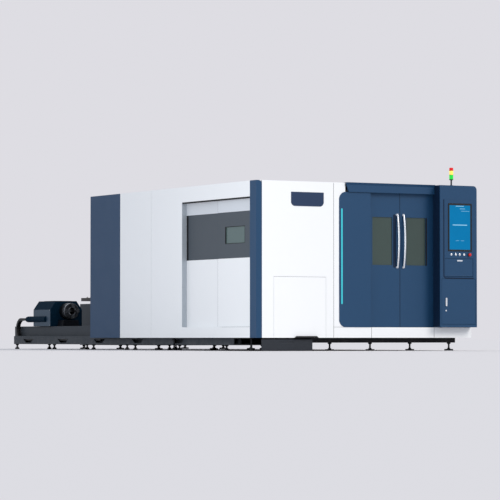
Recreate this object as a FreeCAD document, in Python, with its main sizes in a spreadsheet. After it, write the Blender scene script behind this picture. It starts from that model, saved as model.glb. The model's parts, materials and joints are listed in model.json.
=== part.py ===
import FreeCAD, Part
import math
import os
from types import SimpleNamespace
import Sketcher

# A combined sheet and tube laser cutting machine.
# All sizes are millimetres. X runs from the left face to the right, Y from the front face to the
# rear, Z up from the floor. The finished part is shifted so that its origin is the middle of its
# bounding box on the floor.

DIMENSIONS = {
    # enclosure
    "enc_width": 3310, "enc_depth": 4830, "panel_bottom": 170, "panel_top": 2195,
    "panel_thick": 15, "ledge_thick": 6, "seam": 3, "seam_depth": 3, "running_gap": 3,
    "roof_thick": 10,
    # frame of square tubes inside the enclosure
    "tube_side": 60, "frame_gap": 5, "frame_clear": 12, "rear_post": 190,
    # folded corner trim
    "trim_front": 84, "trim_side": 170, "trim_round": 50,
    # left face
    "recess_rear": 2030, "recess_depth": 75, "recess_low": 310, "recess_high": 1990,
    "leaf_split": 1110, "leaf_thick": 26, "leaf_lap": 12, "jamb_wide": 10,
    "side_glass_front": 380, "side_glass_rear": 900, "side_glass_low": 1400,
    "side_glass_high": 1620, "side_seam_mid": 2930, "side_seam_rear": 3880,
    "glass_thick": 6,
    # front face
    "front_seam": 1158, "hatch_left": 257, "hatch_right": 1042, "hatch_high": 960,
    "plate_left": 516, "plate_right": 1006, "plate_low": 1873, "plate_high": 2056,
    "plate_round": 60, "plate_thick": 4,
    "accent_left": 1240, "accent_right": 1724, "accent_low": 308, "accent_high": 2078,
    "accent_round": 100, "accent_thick": 6,
    "led_left": 1269, "led_wide": 22, "led_low": 609, "led_high": 1858, "led_thick": 2,
    "door_plane": 40, "door_thick": 28, "door_split": 2206, "door_high": 2088, "door_lap": 24,
    "pane_left_start": 1777, "pane_left_end": 2085, "pane_right_start": 2303,
    "pane_right_end": 2609, "pane_low": 1128, "pane_high": 1760,
    "handle_left_at": 2161, "handle_right_at": 2259, "handle_low": 1085, "handle_high": 1810,
    "handle_dia": 26, "handle_out": 62, "handle_foot": 34, "handle_foot_long": 16,
    "header_left": 1339, "header_low": 2075, "header_rise": 5, "header_out": 24,
    "header_lip": 46, "header_flare": 2168, "header_slant": 40,
    "track_inset": 90, "track_play": 4, "track_rise": 24,
    "band_high": 308, "band_seam_left": 1737,
    # console
    "console_left": 2715, "console_right": 3300, "console_out": 150, "console_back": 30,
    "console_low": 310, "console_round": 55, "console_wall": 12,
    "screen_left": 2840, "screen_right": 3216, "screen_low": 1319, "screen_high": 1955,
    "screen_deep": 45, "screen_proud": 5, "screen_play": 4,
    "tray_left": 2792, "tray_right": 3238, "tray_deep": 90, "flap_low": 985, "flap_high": 1222,
    "flap_thick": 14, "keys_thick": 16, "keys_side": 15, "keys_low": 45, "keys_high": 25,
    "shelf_thick": 12, "shelf_drop": 20,
    "cabinet_left": 2742, "cabinet_right": 3276, "cabinet_low": 350, "cabinet_high": 952,
    "cabinet_thick": 11, "latch_at": 2808, "latch_low": 590, "latch_high": 700,
    "latch_wide": 26, "latch_thick": 12, "latch_gap": 0.5, "latch_round": 10.4,
    "button_dia": 22, "button_proud": 9, "button_deep": 22.5, "button_play": 0.5,
    "button_height": 1276,
    "button_first": 2891, "button_second": 2961, "button_third": 3023, "button_fourth": 3093,
    "stop_at": 3175, "stop_dia": 42, "stop_out": 35, "stop_stem": 24, "stop_head": 18,
    "stop_lap": 6,
    # signal tower
    "tower_at": 3060, "tower_back": 100, "tower_dia": 56, "tower_base": 74, "base_thick": 12,
    "pole_dia": 24, "pole_rise": 95, "collar_thick": 8,
    "green_tall": 60, "yellow_tall": 57, "red_tall": 43,
    # main bed, rails and cutting gantry
    "bed_left": 900, "bed_right": 3150, "bed_front": 150, "bed_rear": 4600, "bed_beam": 180,
    "bed_low": 106, "bed_high": 800, "cross_high": 400, "cross_wide": 150,
    "rail_wide": 40, "rail_high": 25, "rail_gap": 1, "rail_end": 50, "tube_rail_start": 770,
    "tube_rail_end": 60,
    "truck_long": 300, "truck_front": 30, "beam_low": 950, "beam_high": 1230, "beam_front": 860,
    "beam_deep": 240,
    "beam_left": 200, "carriage_at": 1600, "carriage_wide": 200, "carriage_thick": 80,
    "carriage_low": 956, "carriage_high": 1260, "carriage_gap": 2, "head_gap": 2,
    "head_dia": 84, "head_low": 905, "head_high": 1240, "nozzle_low": 830, "nozzle_dia": 60,
    "nozzle_tip": 15,
    # pallets and exchange table
    "pallet_left": 1230, "pallet_right": 2870, "pallet_front": 1050, "pallet_long": 3100,
    "pallet_low": 535, "pallet_thick": 50, "slat_high": 20, "slat_thick": 6, "slat_count": 24,
    "pallet_bar": 80,
    "tier_rise": 200, "pallet_travel": 3520,
    "table_front": 4870, "table_rear": 7520, "table_left": 1140, "table_tube": 60,
    "table_high": 690, "cover_thick": 4, "cover_low": 260,
    "lift_wall": 12, "lift_rail_wide": 50, "lift_rail_high": 14,
    "runway_gap": 4, "lift_slack": 6, "lift_end": 10, "lift_overhang": 600, "lift_skirt": 60,
    "lift_cross": 60,
    "lift_cross_front": 100, "lift_cross_rear": 160,
    # tube station
    "tube_left": 80, "tube_right": 700, "tube_front": 740, "tube_rear": 7635,
    "rim_low": 75, "rim_high": 197, "rim_thick": 15, "wall_set": 85, "wall_thick": 30,
    "wall_high": 342, "wall_rear": 7785, "notch_first": 2290, "notch_pitch": 1207, "notch_wide": 360,
    "notch_low": 97, "notch_high": 150, "bar_rear": 7860, "bar_low": 150, "bar_high": 190,
    "bar_left": 350, "bar_wide": 80, "tube_rail_wide": 24, "tube_rail_low": 300,
    "tube_rail_high": 338, "end_plate": 12, "notch_taper": 85,
    "chuck_axis": 380, "chuck_height": 567, "chuck_front": 6420, "chuck_rear": 7020,
    "chuck_half": 260, "chuck_shoulder": 592, "chuck_top": 718, "chuck_slope": 90,
    "chuck_clear": 1, "chuck_dia": 246, "chuck_bore": 110, "chuck_nose": 200, "spindle_dia": 150,
    "spindle_play": 0.5, "spindle_tail": 20, "nose_gap": 2,
    "shoe_wide": 14, "shoe_long": 100, "shoe_play": 1, "shoe_front": 60, "shoe_rear": 160,
    "jaw_wide": 44, "jaw_long": 60, "jaw_reach": 50, "jaw_deep": 45, "jaw_gap": 0.5,
    "duct_dia": 84, "duct_at": 122, "duct_high": 448, "duct_front": 6560, "duct_rear": 7225,
    "front_chuck_front": 960, "front_chuck_deep": 230, "front_chuck_half": 215,
    "front_chuck_top": 800, "front_chuck_dia": 250, "ring_play": 0.5, "ring_proud": 25,
    "chain_at": 127, "chain_wide": 60, "chain_thick": 40, "chain_turn": 7440, "chain_low": 150,
    "chain_fixed": 4700, "chain_gap": 0.5,
    # feet, drawer, lip, pass-through openings, fume collar
    "foot_dia": 120, "foot_small": 66, "foot_thick": 14, "foot_stem": 26, "nut_high": 16,
    "side_foot_at": 42, "side_foot_front": 30, "side_foot_rear": 300, "rear_foot": 230,
    "table_foot": 80,
    "foot_first": 1230, "foot_pitch": 622, "tube_foot_first": 1000, "tube_foot_pitch": 1320,
    "tube_foot_left": 120, "tube_foot_right": 660,
    "drawer_left": 86, "drawer_right": 844, "drawer_front": 12, "drawer_rear": 400,
    "drawer_plate": 12, "drawer_box_left": 300, "drawer_box_right": 830,
    "drawer_low": 4, "drawer_high": 150, "drawer_wall": 6,
    "lip_left": 560, "lip_right": 920, "lip_out": 30, "lip_low": 166, "lip_high": 192,
    "pass_left": 1185, "pass_right": 2915, "pass_low": 440, "pass_high": 880,
    "tube_pass_right": 712, "tube_pass_high": 860,
    "collar_at": 2350, "collar_height": 1650, "collar_dia": 250, "collar_wall": 3,
    "collar_long": 90,
}

doc = FreeCAD.newDocument("laser_cutter")
nodes = []


class Size:
    """A length with the spreadsheet expression that gives it."""

    def __init__(self, value, text=None):
        self.value = float(value)
        self.text = text or repr(float(value))

    def join(self, other, sign, value):
        return Size(value, f"({self.text} {sign} {other.text})")

    def __add__(self, other):
        other = sized(other)
        return self.join(other, "+", self.value + other.value)

    def __sub__(self, other):
        other = sized(other)
        return self.join(other, "-", self.value - other.value)

    def __mul__(self, other):
        other = sized(other)
        return self.join(other, "*", self.value * other.value)

    def __truediv__(self, other):
        other = sized(other)
        return self.join(other, "/", self.value / other.value)

    def __rsub__(self, other):
        return sized(other) - self

    def __neg__(self):
        return sized(0) - self

    __radd__ = __add__
    __rmul__ = __mul__


def sized(number):
    return number if isinstance(number, Size) else Size(number)


def make_sheet():
    """Put every driving dimension in the spreadsheet and return them by name."""
    sheet = doc.addObject("Spreadsheet::Sheet", "dims")
    for row, (name, number) in enumerate(DIMENSIONS.items(), start=1):
        cell = f"B{row}"
        sheet.set(f"A{row}", name)
        sheet.set(cell, str(number))
        sheet.setAlias(cell, name)
    doc.recompute()
    return SimpleNamespace(**{n: Size(v, "dims." + n) for n, v in DIMENSIONS.items()})


D = make_sheet()
MID_X = D.enc_width / 2
FRONT_Y = -(D.console_out + D.stop_out)
MID_Y = (D.bar_rear + FRONT_Y) / 2


def bind(item, prop, size):
    item.setExpression(prop, sized(size).text)


def place(item, x, y, z):
    """Bind an object's placement, given from the left face, front face and floor."""
    bind(item, "Placement.Base.x", x - MID_X)
    bind(item, "Placement.Base.y", y - MID_Y)
    bind(item, "Placement.Base.z", z)


def node(item, label):
    """Keep an object as a sub-part of the machine."""
    item.Label = label
    nodes.append(item)
    return item


# Part primitives ------------------------------------------------------------------------

def block(x, y, z):
    """A box between pairs of low and high sizes."""
    item = doc.addObject("Part::Box", "block")
    bind(item, "Length", x[1] - x[0])
    bind(item, "Width", y[1] - y[0])
    bind(item, "Height", z[1] - z[0])
    place(item, sized(x[0]), sized(y[0]), sized(z[0]))
    return item


TURNS = {"Z": FreeCAD.Rotation(), "X": FreeCAD.Rotation(FreeCAD.Vector(0, 1, 0), 90),
         "Y": FreeCAD.Rotation(FreeCAD.Vector(1, 0, 0), -90)}


def rod(radius, start, length, axis="Z"):
    """A cylinder that starts at a point and runs along one of the axes."""
    item = doc.addObject("Part::Cylinder", "rod")
    bind(item, "Radius", radius)
    bind(item, "Height", length)
    item.Placement = FreeCAD.Placement(FreeCAD.Vector(), TURNS[axis])
    place(item, *[sized(v) for v in start])
    return item


def taper(low_radius, high_radius, start, length):
    item = doc.addObject("Part::Cone", "taper")
    bind(item, "Radius1", low_radius)
    bind(item, "Radius2", high_radius)
    bind(item, "Height", length)
    place(item, *[sized(v) for v in start])
    return item


def joined(items):
    if len(items) == 1:
        return items[0]
    item = doc.addObject("Part::MultiFuse", "joined")
    item.Shapes = items
    item.Refine = True
    return item


def group(items):
    """Separate solids that share one node."""
    item = doc.addObject("Part::Compound", "group")
    item.Links = items
    return item


def less(base, tools):
    item = doc.addObject("Part::Cut", "less")
    item.Base = base
    item.Tool = joined(tools)
    item.Refine = True
    return item


# Sketched bodies --------------------------------------------------------------------------

def new_body():
    body = doc.addObject("PartDesign::Body", "body")
    place(body, sized(0), sized(0), sized(0))
    return body


def draw(body, plane, level, outlines, rings=()):
    """A sketch on one of the body's planes: closed polygons, and circles as (u, v, radius)."""
    sketch = body.newObject("Sketcher::SketchObject", "sketch")
    support = [f for f in body.Origin.OriginFeatures if f.Role == plane + "_Plane"][0]
    sketch.AttachmentSupport = [(support, "")]
    sketch.MapMode = "FlatFace"
    bind(sketch, "AttachmentOffset.Base.z", level)
    for points in outlines:
        polygon(sketch, [(sized(u), sized(v)) for u, v in points])
    for u, v, radius in rings:
        ring(sketch, sized(u), sized(v), sized(radius))
    return sketch


def hold(sketch, kind, geometry, point, size):
    """A signed distance from the sketch's origin, bound to its expression."""
    index = sketch.addConstraint(Sketcher.Constraint(kind, -1, 1, geometry, point, size.value))
    bind(sketch, f"Constraints[{index}]", size)


def polygon(sketch, points):
    count = len(points)
    first = sketch.GeometryCount
    spots = [FreeCAD.Vector(u.value, v.value, 0) for u, v in points]
    for i in range(count):
        sketch.addGeometry(Part.LineSegment(spots[i], spots[(i + 1) % count]), False)
    for i, (u, v) in enumerate(points):
        after = first + (i + 1) % count
        sketch.addConstraint(Sketcher.Constraint("Coincident", first + i, 2, after, 1))
        hold(sketch, "DistanceX", first + i, 1, u)
        hold(sketch, "DistanceY", first + i, 1, v)


def ring(sketch, u, v, radius):
    centre = FreeCAD.Vector(u.value, v.value, 0)
    circle = Part.Circle(centre, FreeCAD.Vector(0, 0, 1), radius.value)
    index = sketch.addGeometry(circle, False)
    hold(sketch, "DistanceX", index, 3, u)
    hold(sketch, "DistanceY", index, 3, v)
    limit = sketch.addConstraint(Sketcher.Constraint("Radius", index, radius.value))
    bind(sketch, f"Constraints[{limit}]", radius)


# The XZ plane's normal is -Y, so a pad from the front towards the rear is reversed there.
BACKWARDS = {"XY": False, "XZ": True, "YZ": False}


def pad(body, plane, start, end, outlines, rings=()):
    """Extrude outlines from one level to another along +Z, +Y or +X."""
    level = -sized(start) if plane == "XZ" else sized(start)
    feature = body.newObject("PartDesign::Pad", "pad")
    feature.Profile = draw(body, plane, level, outlines, rings)
    feature.Reversed = BACKWARDS[plane]
    bind(feature, "Length", sized(end) - start)
    body.Tip = feature
    return feature


def carve(body, plane, start, end, outlines, rings=()):
    """Cut outlines out of a body from one level to another."""
    level = -sized(start) if plane == "XZ" else sized(start)
    feature = body.newObject("PartDesign::Pocket", "carve")
    feature.Profile = draw(body, plane, level, outlines, rings)
    feature.Reversed = not BACKWARDS[plane]
    bind(feature, "Length", sized(end) - start)
    body.Tip = feature
    return feature


def rect(u, v):
    return [(u[0], v[0]), (u[1], v[0]), (u[1], v[1]), (u[0], v[1])]


def round_edges(body, feature, axis, corners, radius):
    """Fillet the edges along an axis whose other two coordinates are given."""
    doc.recompute()
    others = [k for k in range(3) if k != "XYZ".index(axis)]
    names = []
    for number, edge in enumerate(feature.Shape.Edges, start=1):
        ends = [vertex.Point for vertex in edge.Vertexes]
        for corner in corners:
            wanted = [sized(c).value for c in corner]
            near = all(abs(p[k] - w) < 0.01 for p in ends for k, w in zip(others, wanted))
            if near and len(ends) == 2 and f"Edge{number}" not in names:
                names.append(f"Edge{number}")
    if len(names) < len(corners):
        raise ValueError("an edge to round was not found on " + body.Label)
    fillet = body.newObject("PartDesign::Fillet", "rounds")
    fillet.Base = (feature, names)
    bind(fillet, "Radius", radius)
    body.Tip = fillet
    return fillet


def plate(label, plane, start, end, outlines, rings=()):
    body = new_body()
    pad(body, plane, start, end, outlines, rings)
    return node(body, label)


# Enclosure ----------------------------------------------------------------------------------

PANEL = (D.panel_bottom, D.panel_top)
LEDGE = D.ledge_thick
INNER = (D.panel_thick, D.enc_width - D.panel_thick)


def corner_trim():
    """Folded channel around the front left corner."""
    body = new_body()
    fold = D.panel_thick
    outline = [(0, 0), (D.trim_front, 0), (D.trim_front, fold), (fold, fold),
               (fold, D.trim_side - fold), (D.recess_depth, D.trim_side - fold),
               (D.recess_depth, D.trim_side), (0, D.trim_side)]
    shape = pad(body, "XY", PANEL[0], PANEL[1], [outline])
    round_edges(body, shape, "Y", [(D.trim_front, D.panel_top)], D.trim_round)
    inward = (fold, D.recess_depth + 1)
    for tall in ((PANEL[0] - 1, D.recess_low - LEDGE), (D.recess_high + LEDGE, PANEL[1] + 1)):
        carve(body, "XZ", D.trim_side - fold, D.trim_side + 1, [rect(inward, tall)])
    node(body, "corner_trim")


def side_frame_panels():
    """Header and sill strips above and below the recess, with their ledges."""
    run = (D.trim_side, D.recess_rear)
    depth = D.panel_thick
    ledge = D.recess_depth + D.leaf_thick
    head = new_body()
    top = [(0, D.recess_high), (ledge, D.recess_high), (ledge, D.recess_high + LEDGE),
           (depth, D.recess_high + LEDGE), (depth, D.panel_top), (0, D.panel_top)]
    pad(head, "XZ", run[0], run[1], [top])
    sill = new_body()
    low = [(0, D.panel_bottom), (depth, D.panel_bottom), (depth, D.recess_low - LEDGE),
           (ledge, D.recess_low - LEDGE), (ledge, D.recess_low), (0, D.recess_low)]
    pad(sill, "XZ", run[0], run[1], [low])
    slot = (D.leaf_split - D.seam / 2, D.leaf_split + D.seam / 2)
    groove = block((sized(0) - 1, D.seam_depth), slot, (PANEL[0] - 1, PANEL[1] + 1))
    node(group([less(head, [groove]), less(sill, [groove])]), "side_frame_panels")


def side_fixed_leaf():
    """The rear leaf of the side opening and the jamb behind it."""
    inner = (D.recess_depth, D.recess_depth + D.leaf_thick)
    tall = (D.recess_low, D.recess_high)
    leaf = block(inner, (D.leaf_split - D.leaf_lap, D.recess_rear), tall)
    behind = (D.recess_rear, D.recess_rear + D.jamb_wide)
    jamb = block((sized(0), inner[1]), behind, (tall[0] - LEDGE, tall[1] + LEDGE))
    edge = block((sized(0), D.panel_thick), behind, PANEL)
    node(joined([leaf, jamb, edge]), "side_fixed_leaf")


def side_door():
    """Sliding leaf with its observation window."""
    face = D.recess_depth - D.leaf_thick - D.running_gap
    deep = (face, face + D.leaf_thick)
    ahead = D.trim_side + D.running_gap
    leaf = rect((ahead, D.leaf_split), (D.recess_low + D.running_gap, D.recess_high - D.running_gap))
    opening = rect((D.side_glass_front, D.side_glass_rear), (D.side_glass_low, D.side_glass_high))
    plate("side_door", "YZ", deep[0], deep[1], [leaf, opening])
    middle = deep[0] + (D.leaf_thick - D.glass_thick) / 2
    plate("side_door_window", "YZ", middle, middle + D.glass_thick, [opening])


def side_panels():
    start = D.recess_rear + D.jamb_wide
    mid = D.side_seam_mid
    thick = (sized(0), D.panel_thick)
    front = block(thick, (start, mid - D.seam / 2), PANEL)
    rear = block(thick, (mid + D.seam / 2, D.side_seam_rear - D.seam / 2), PANEL)
    node(group([front, rear]), "side_panels")
    end = block(thick, (D.side_seam_rear + D.seam / 2, D.enc_depth), PANEL)
    node(end, "side_panel_end")


def front_left_panel():
    """White panel with the outlet opening, and the nameplate on it."""
    depth = D.panel_thick
    sheet = [(D.trim_front, D.panel_bottom), (D.hatch_left, D.panel_bottom),
             (D.hatch_left, D.hatch_high), (D.hatch_right, D.hatch_high),
             (D.hatch_right, D.panel_bottom), (D.front_seam - D.seam / 2, D.panel_bottom),
             (D.front_seam - D.seam / 2, D.panel_top), (D.trim_front, D.panel_top)]
    plate("front_left_panel", "XZ", 0, depth, [sheet])
    body = new_body()
    wide = (D.plate_left, D.plate_right)
    shape = pad(body, "XZ", -D.plate_thick, 0, [rect(wide, (D.plate_low, D.plate_high))])
    low_corners = [(wide[0], D.plate_low), (wide[1], D.plate_low)]
    round_edges(body, shape, "Y", low_corners, D.plate_round)
    node(body, "name_plate")


def outlet_door():
    """Hatch for finished tubes, with a grip lip along its bottom edge."""
    gap = D.running_gap
    leaf = block((D.hatch_left + gap, D.hatch_right - gap), (sized(0), D.panel_thick),
                 (D.panel_bottom, D.hatch_high - gap))
    lip = block((D.lip_left, D.lip_right), (-D.lip_out, sized(0)), (D.lip_low, D.lip_high))
    node(joined([leaf, lip]), "outlet_door")


def front_surround():
    """White plate around the blue accent panel, beside the sliding doors."""
    edge = D.front_seam + D.seam / 2
    low = D.band_high + D.seam
    corner = D.header_left - D.seam
    outline = [(edge, low), (D.accent_right, low), (D.accent_right, D.header_low),
               (corner, D.header_low), (corner, D.panel_top), (edge, D.panel_top)]
    plate("front_surround", "XZ", 0, D.panel_thick, [outline])


def blue_panel():
    """Raised accent panel with rounded left corners and a light strip let into it."""
    body = new_body()
    tall = (D.accent_low, D.accent_high - D.seam)
    face = -D.accent_thick
    shape = pad(body, "XZ", face, 0, [rect((D.accent_left, D.accent_right), tall)])
    left = [(D.accent_left, tall[0]), (D.accent_left, tall[1])]
    round_edges(body, shape, "Y", left, D.accent_round)
    strip = rect((D.led_left, D.led_left + D.led_wide), (D.led_low, D.led_high))
    pad(body, "XZ", face - D.led_thick, face, [strip])
    node(body, "blue_panel")


def front_header():
    """Door track cover: a flared top lip, open underneath, with a slanted left end."""
    top = D.panel_top + D.header_rise
    wall = LEDGE
    back = D.door_plane + D.door_thick + D.tube_side / 2
    outline = [(-D.header_out, D.header_low), (-D.header_out, D.header_flare),
               (-D.header_lip, top), (back, top), (back, top - wall),
               (wall - D.header_out, top - wall), (wall - D.header_out, D.header_low)]
    body = new_body()
    pad(body, "YZ", D.header_left, D.console_left - D.seam, [outline])
    slant = [(D.header_left - 1, D.header_low - 1), (D.header_left + D.header_slant, D.header_low - 1),
             (D.header_left - 1, top - D.header_slant / 2)]
    carve(body, "XZ", -D.header_lip - 1, back + 1, [slant])
    node(body, "front_header")


def lower_band():
    """Skirt under the accent panel, doors and console, with the door sill."""
    depth = D.door_plane + D.door_thick + D.frame_clear
    profile = [(0, D.panel_bottom), (D.panel_thick, D.panel_bottom),
               (D.panel_thick, D.band_high - LEDGE), (depth, D.band_high - LEDGE),
               (depth, D.band_high), (0, D.band_high)]
    body = new_body()
    pad(body, "YZ", D.front_seam + D.seam / 2, D.enc_width, [profile])
    notch = rect((D.enc_width - D.panel_thick, D.enc_width + 1), (D.console_back, depth + 1))
    carve(body, "XY", PANEL[0] - 1, D.band_high + 1, [notch])
    half = D.seam / 2
    cuts = []
    for at in (D.band_seam_left, D.console_left):
        cuts.append(block((at - half, at + half), (sized(-1), D.seam_depth),
                          (PANEL[0] - 1, D.band_high + 1)))
    node(less(body, cuts), "lower_band")


def right_and_rear():
    right = block((D.enc_width - D.panel_thick, D.enc_width),
                  (D.console_back + D.seam, D.enc_depth), PANEL)
    node(right, "right_side_panel")
    face = D.enc_depth - D.panel_thick
    outline = [(INNER[0], D.tube_pass_high), (INNER[0], D.panel_top), (INNER[1], D.panel_top),
               (INNER[1], D.panel_bottom), (D.tube_pass_right, D.panel_bottom),
               (D.tube_pass_right, D.tube_pass_high)]
    passage = rect((D.pass_left, D.pass_right), (D.pass_low, D.pass_high))
    inner = D.collar_dia / 2
    body = new_body()
    pad(body, "XZ", face, D.enc_depth, [outline, passage], [(D.collar_at, D.collar_height, inner)])
    pad(body, "XZ", D.enc_depth, D.enc_depth + D.collar_long, [],
        [(D.collar_at, D.collar_height, inner), (D.collar_at, D.collar_height, inner + D.collar_wall)])
    node(body, "rear_panel")


def roof_panel():
    edge = D.panel_thick
    clear = D.door_plane + D.door_thick + D.tube_side / 2
    outline = [(edge, edge), (D.header_left - D.seam, edge), (D.header_left - D.seam, clear + D.seam),
               (D.console_left, clear + D.seam), (D.console_left, D.console_back + D.seam),
               (D.enc_width - edge, D.console_back + D.seam), (D.enc_width - edge, D.enc_depth - edge),
               (edge, D.enc_depth - edge)]
    plate("roof_panel", "XY", D.panel_top - D.roof_thick, D.panel_top, [outline])


def enclosure_frame():
    """Square tubes behind the panels."""
    side = D.tube_side
    left = (D.panel_thick, D.panel_thick + side)
    right = (D.enc_width - D.panel_thick - side, D.enc_width - D.panel_thick)
    tall = (D.panel_bottom + D.frame_gap, D.panel_top - D.roof_thick)
    low = (tall[0], tall[0] + side)
    high = (tall[1] - side, tall[1])
    front = (D.panel_thick + D.frame_gap, D.panel_thick + D.frame_gap + side)
    inside = D.door_plane + D.door_thick + D.frame_clear
    behind = (inside, inside + side)
    rear = (D.enc_depth - D.panel_thick - side, D.enc_depth - D.panel_thick)
    mid = (D.side_seam_mid - side / 2, D.side_seam_mid + side / 2)
    after = (D.recess_rear + D.jamb_wide, D.recess_rear + D.jamb_wide + side)
    shaft = (left[0], right[1])
    bars = [block(left, front, tall), block(left, after, tall), block(left, mid, tall),
            block(left, rear, (tall[1] - D.rear_post, tall[1])), block(right, behind, tall),
            block(right, mid, tall), block(right, rear, tall)]
    bars += [block(left, (front[0], rear[1]), high), block(right, (behind[0], rear[1]), high)]
    bars += [block(left, (front[0], mid[1]), low), block(right, (behind[0], rear[1]), low)]
    bars += [block(shaft, behind, high), block(shaft, rear, high), block(shaft, mid, high)]
    beside = (D.front_seam + D.frame_gap, D.front_seam + D.frame_gap + side)
    bars += [block(beside, front, (D.band_high, tall[1])), block(beside, (front[1], behind[1]), high)]
    node(joined(bars), "enclosure_frame")


def door_track():
    """Top guide rail of the sliding doors."""
    track = block((D.front_seam + D.track_inset, D.enc_width - D.panel_thick - D.track_inset),
                  (D.door_plane - D.track_play, D.door_plane + D.door_thick + D.track_play),
                  (D.door_high + D.running_gap, D.door_high + D.track_rise))
    node(track, "door_track")


# Front doors --------------------------------------------------------------------------------

def front_leaf(side, across, pane):
    tall = (D.band_high + D.running_gap, D.door_high)
    window = rect(pane, (D.pane_low, D.pane_high))
    start = D.door_plane
    plate("front_door_" + side, "XZ", start, start + D.door_thick, [rect(across, tall), window])
    middle = start + (D.door_thick - D.glass_thick) / 2
    plate("door_window_" + side, "XZ", middle, middle + D.glass_thick, [window])


def bow_handle(side, across):
    """A round bar bent to one long arc, on two round feet."""
    foot = D.handle_foot / 2
    face = D.door_plane
    half = (D.handle_high - D.handle_low) / 2 - foot
    rise = D.handle_out - D.handle_dia
    radius = (half * half + rise * rise) / (rise * 2)
    middle = (D.handle_high + D.handle_low) / 2
    front = face - D.handle_out + D.handle_dia / 2
    body = new_body()
    sketch = draw(body, "XY", middle, [], [(across, front, D.handle_dia / 2)])
    axis = sketch.addGeometry(Part.LineSegment(FreeCAD.Vector(0, 0, 0), FreeCAD.Vector(100, 0, 0)), True)
    sketch.addConstraint(Sketcher.Constraint("Horizontal", axis))
    hold(sketch, "DistanceX", axis, 1, across)
    hold(sketch, "DistanceX", axis, 2, across + D.handle_dia)
    hold(sketch, "DistanceY", axis, 1, front + radius)
    bend = body.newObject("PartDesign::Revolution", "bend")
    bend.Profile = sketch
    bend.ReferenceAxis = (sketch, ["Axis0"])
    bend.Midplane = True
    angle = Size(2 * math.degrees(math.asin(half.value / radius.value)),
                 f"2 * asin({half.text} / {radius.text})")
    bind(bend, "Angle", angle)
    body.Tip = bend
    feet = [rod(foot, (across, face - D.handle_foot_long, middle + half * sign),
                D.handle_foot_long, "Y") for sign in (-1, 1)]
    node(joined([body] + feet), "door_handle_" + side)


def front_doors():
    half = D.running_gap / 2
    front_leaf("left", (D.accent_right - D.door_lap, D.door_split - half),
               (D.pane_left_start, D.pane_left_end))
    front_leaf("right", (D.door_split + half, D.console_left + D.door_lap),
               (D.pane_right_start, D.pane_right_end))
    bow_handle("left", D.handle_left_at)
    bow_handle("right", D.handle_right_at)


# Console ------------------------------------------------------------------------------------

CONSOLE_X = (D.console_left, D.console_right)
FACE = -D.console_out


def console_shell():
    """Folded case with openings for the screen, the keyboard tray and the lower cabinet."""
    body = new_body()
    tall = (D.console_low, D.panel_top)
    wall = D.console_wall
    shape = pad(body, "XZ", FACE, D.console_back, [rect(CONSOLE_X, tall)])
    round_edges(body, shape, "Y", [(D.console_right, D.panel_top)], D.console_round)
    inside = rect((D.console_left + wall, D.console_right - wall),
                  (tall[0] + wall, D.flap_low - D.shelf_drop))
    carve(body, "XZ", FACE + wall, D.console_back - wall, [inside])
    upper = rect((D.console_left + wall, D.console_right - wall),
                 (D.flap_high + D.shelf_thick, tall[1] - D.console_round))
    pocket = FACE + D.screen_deep + D.screen_play
    carve(body, "XZ", pocket, D.console_back - wall, [upper])
    gap = D.running_gap
    cabinet = rect((D.cabinet_left - gap, D.cabinet_right + gap),
                   (D.cabinet_low - gap, D.cabinet_high + gap))
    carve(body, "XZ", FACE, FACE + wall, [cabinet])
    screen = rect((D.screen_left, D.screen_right), (D.screen_low, D.screen_high))
    carve(body, "XZ", FACE, pocket, [screen])
    tray = rect((D.tray_left, D.tray_right), (D.flap_low - gap, D.flap_high + gap))
    carve(body, "XZ", FACE, FACE + D.tray_deep, [tray])
    play = D.button_play
    holes = [(at, D.button_height, D.button_dia / 2 + play) for at in BUTTONS]
    holes.append((D.stop_at, D.button_height, D.stop_stem / 2 + play))
    carve(body, "XZ", FACE, pocket, [], holes)
    node(body, "console_shell")


def control_screen():
    deep = (FACE - D.screen_proud, FACE + D.screen_deep)
    node(block((D.screen_left, D.screen_right), deep, (D.screen_low, D.screen_high)),
         "control_screen")


def keyboard_flap():
    """Fold-down flap with a rolled hinge edge and the keyboard on its inner face."""
    gap = D.running_gap
    wide = (D.tray_left + gap, D.tray_right - gap)
    half = D.flap_thick / 2
    flap = block(wide, (FACE, FACE + D.flap_thick), (D.flap_low + half, D.flap_high))
    roll = rod(half, (wide[0], FACE + half, D.flap_low + half), wide[1] - wide[0], "X")
    keys = block((wide[0] + D.keys_side, wide[1] - D.keys_side),
                 (FACE + D.flap_thick, FACE + D.flap_thick + D.keys_thick),
                 (D.flap_low + D.keys_low, D.flap_high - D.keys_high))
    node(joined([flap, roll, keys]), "keyboard_flap")


def cabinet_door():
    """Lower door of the console and its turning latch."""
    outline = rect((D.cabinet_left, D.cabinet_right), (D.cabinet_low, D.cabinet_high))
    plate("cabinet_door", "XZ", FACE, FACE + D.cabinet_thick, [outline])
    half = D.latch_wide / 2
    face = FACE - D.latch_thick
    body = new_body()
    wide = (D.latch_at - half, D.latch_at + half)
    shape = pad(body, "XZ", face, FACE - D.latch_gap, [rect(wide, (D.latch_low, D.latch_high))])
    corners = [(x, z) for x in wide for z in (D.latch_low, D.latch_high)]
    round_edges(body, shape, "Y", corners, D.latch_round)
    node(body, "cabinet_latch")


BUTTONS = (D.button_first, D.button_second, D.button_third, D.button_fourth)


def push_buttons():
    for number, at in enumerate(BUTTONS, start=1):
        start = (at, FACE - D.button_proud, D.button_height)
        cap = rod(D.button_dia / 2, start, D.button_proud + D.button_deep, "Y")
        node(cap, f"push_button_{number}")


def emergency_stop():
    """Mushroom head on a stem."""
    front = FACE - D.stop_out
    start = front + D.stop_head - D.stop_lap
    stem = rod(D.stop_stem / 2, (D.stop_at, start, D.button_height), FACE + D.button_deep - start, "Y")
    head = rod(D.stop_dia / 2, (D.stop_at, front, D.button_height), D.stop_head, "Y")
    node(joined([head, stem]), "emergency_stop")


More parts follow.
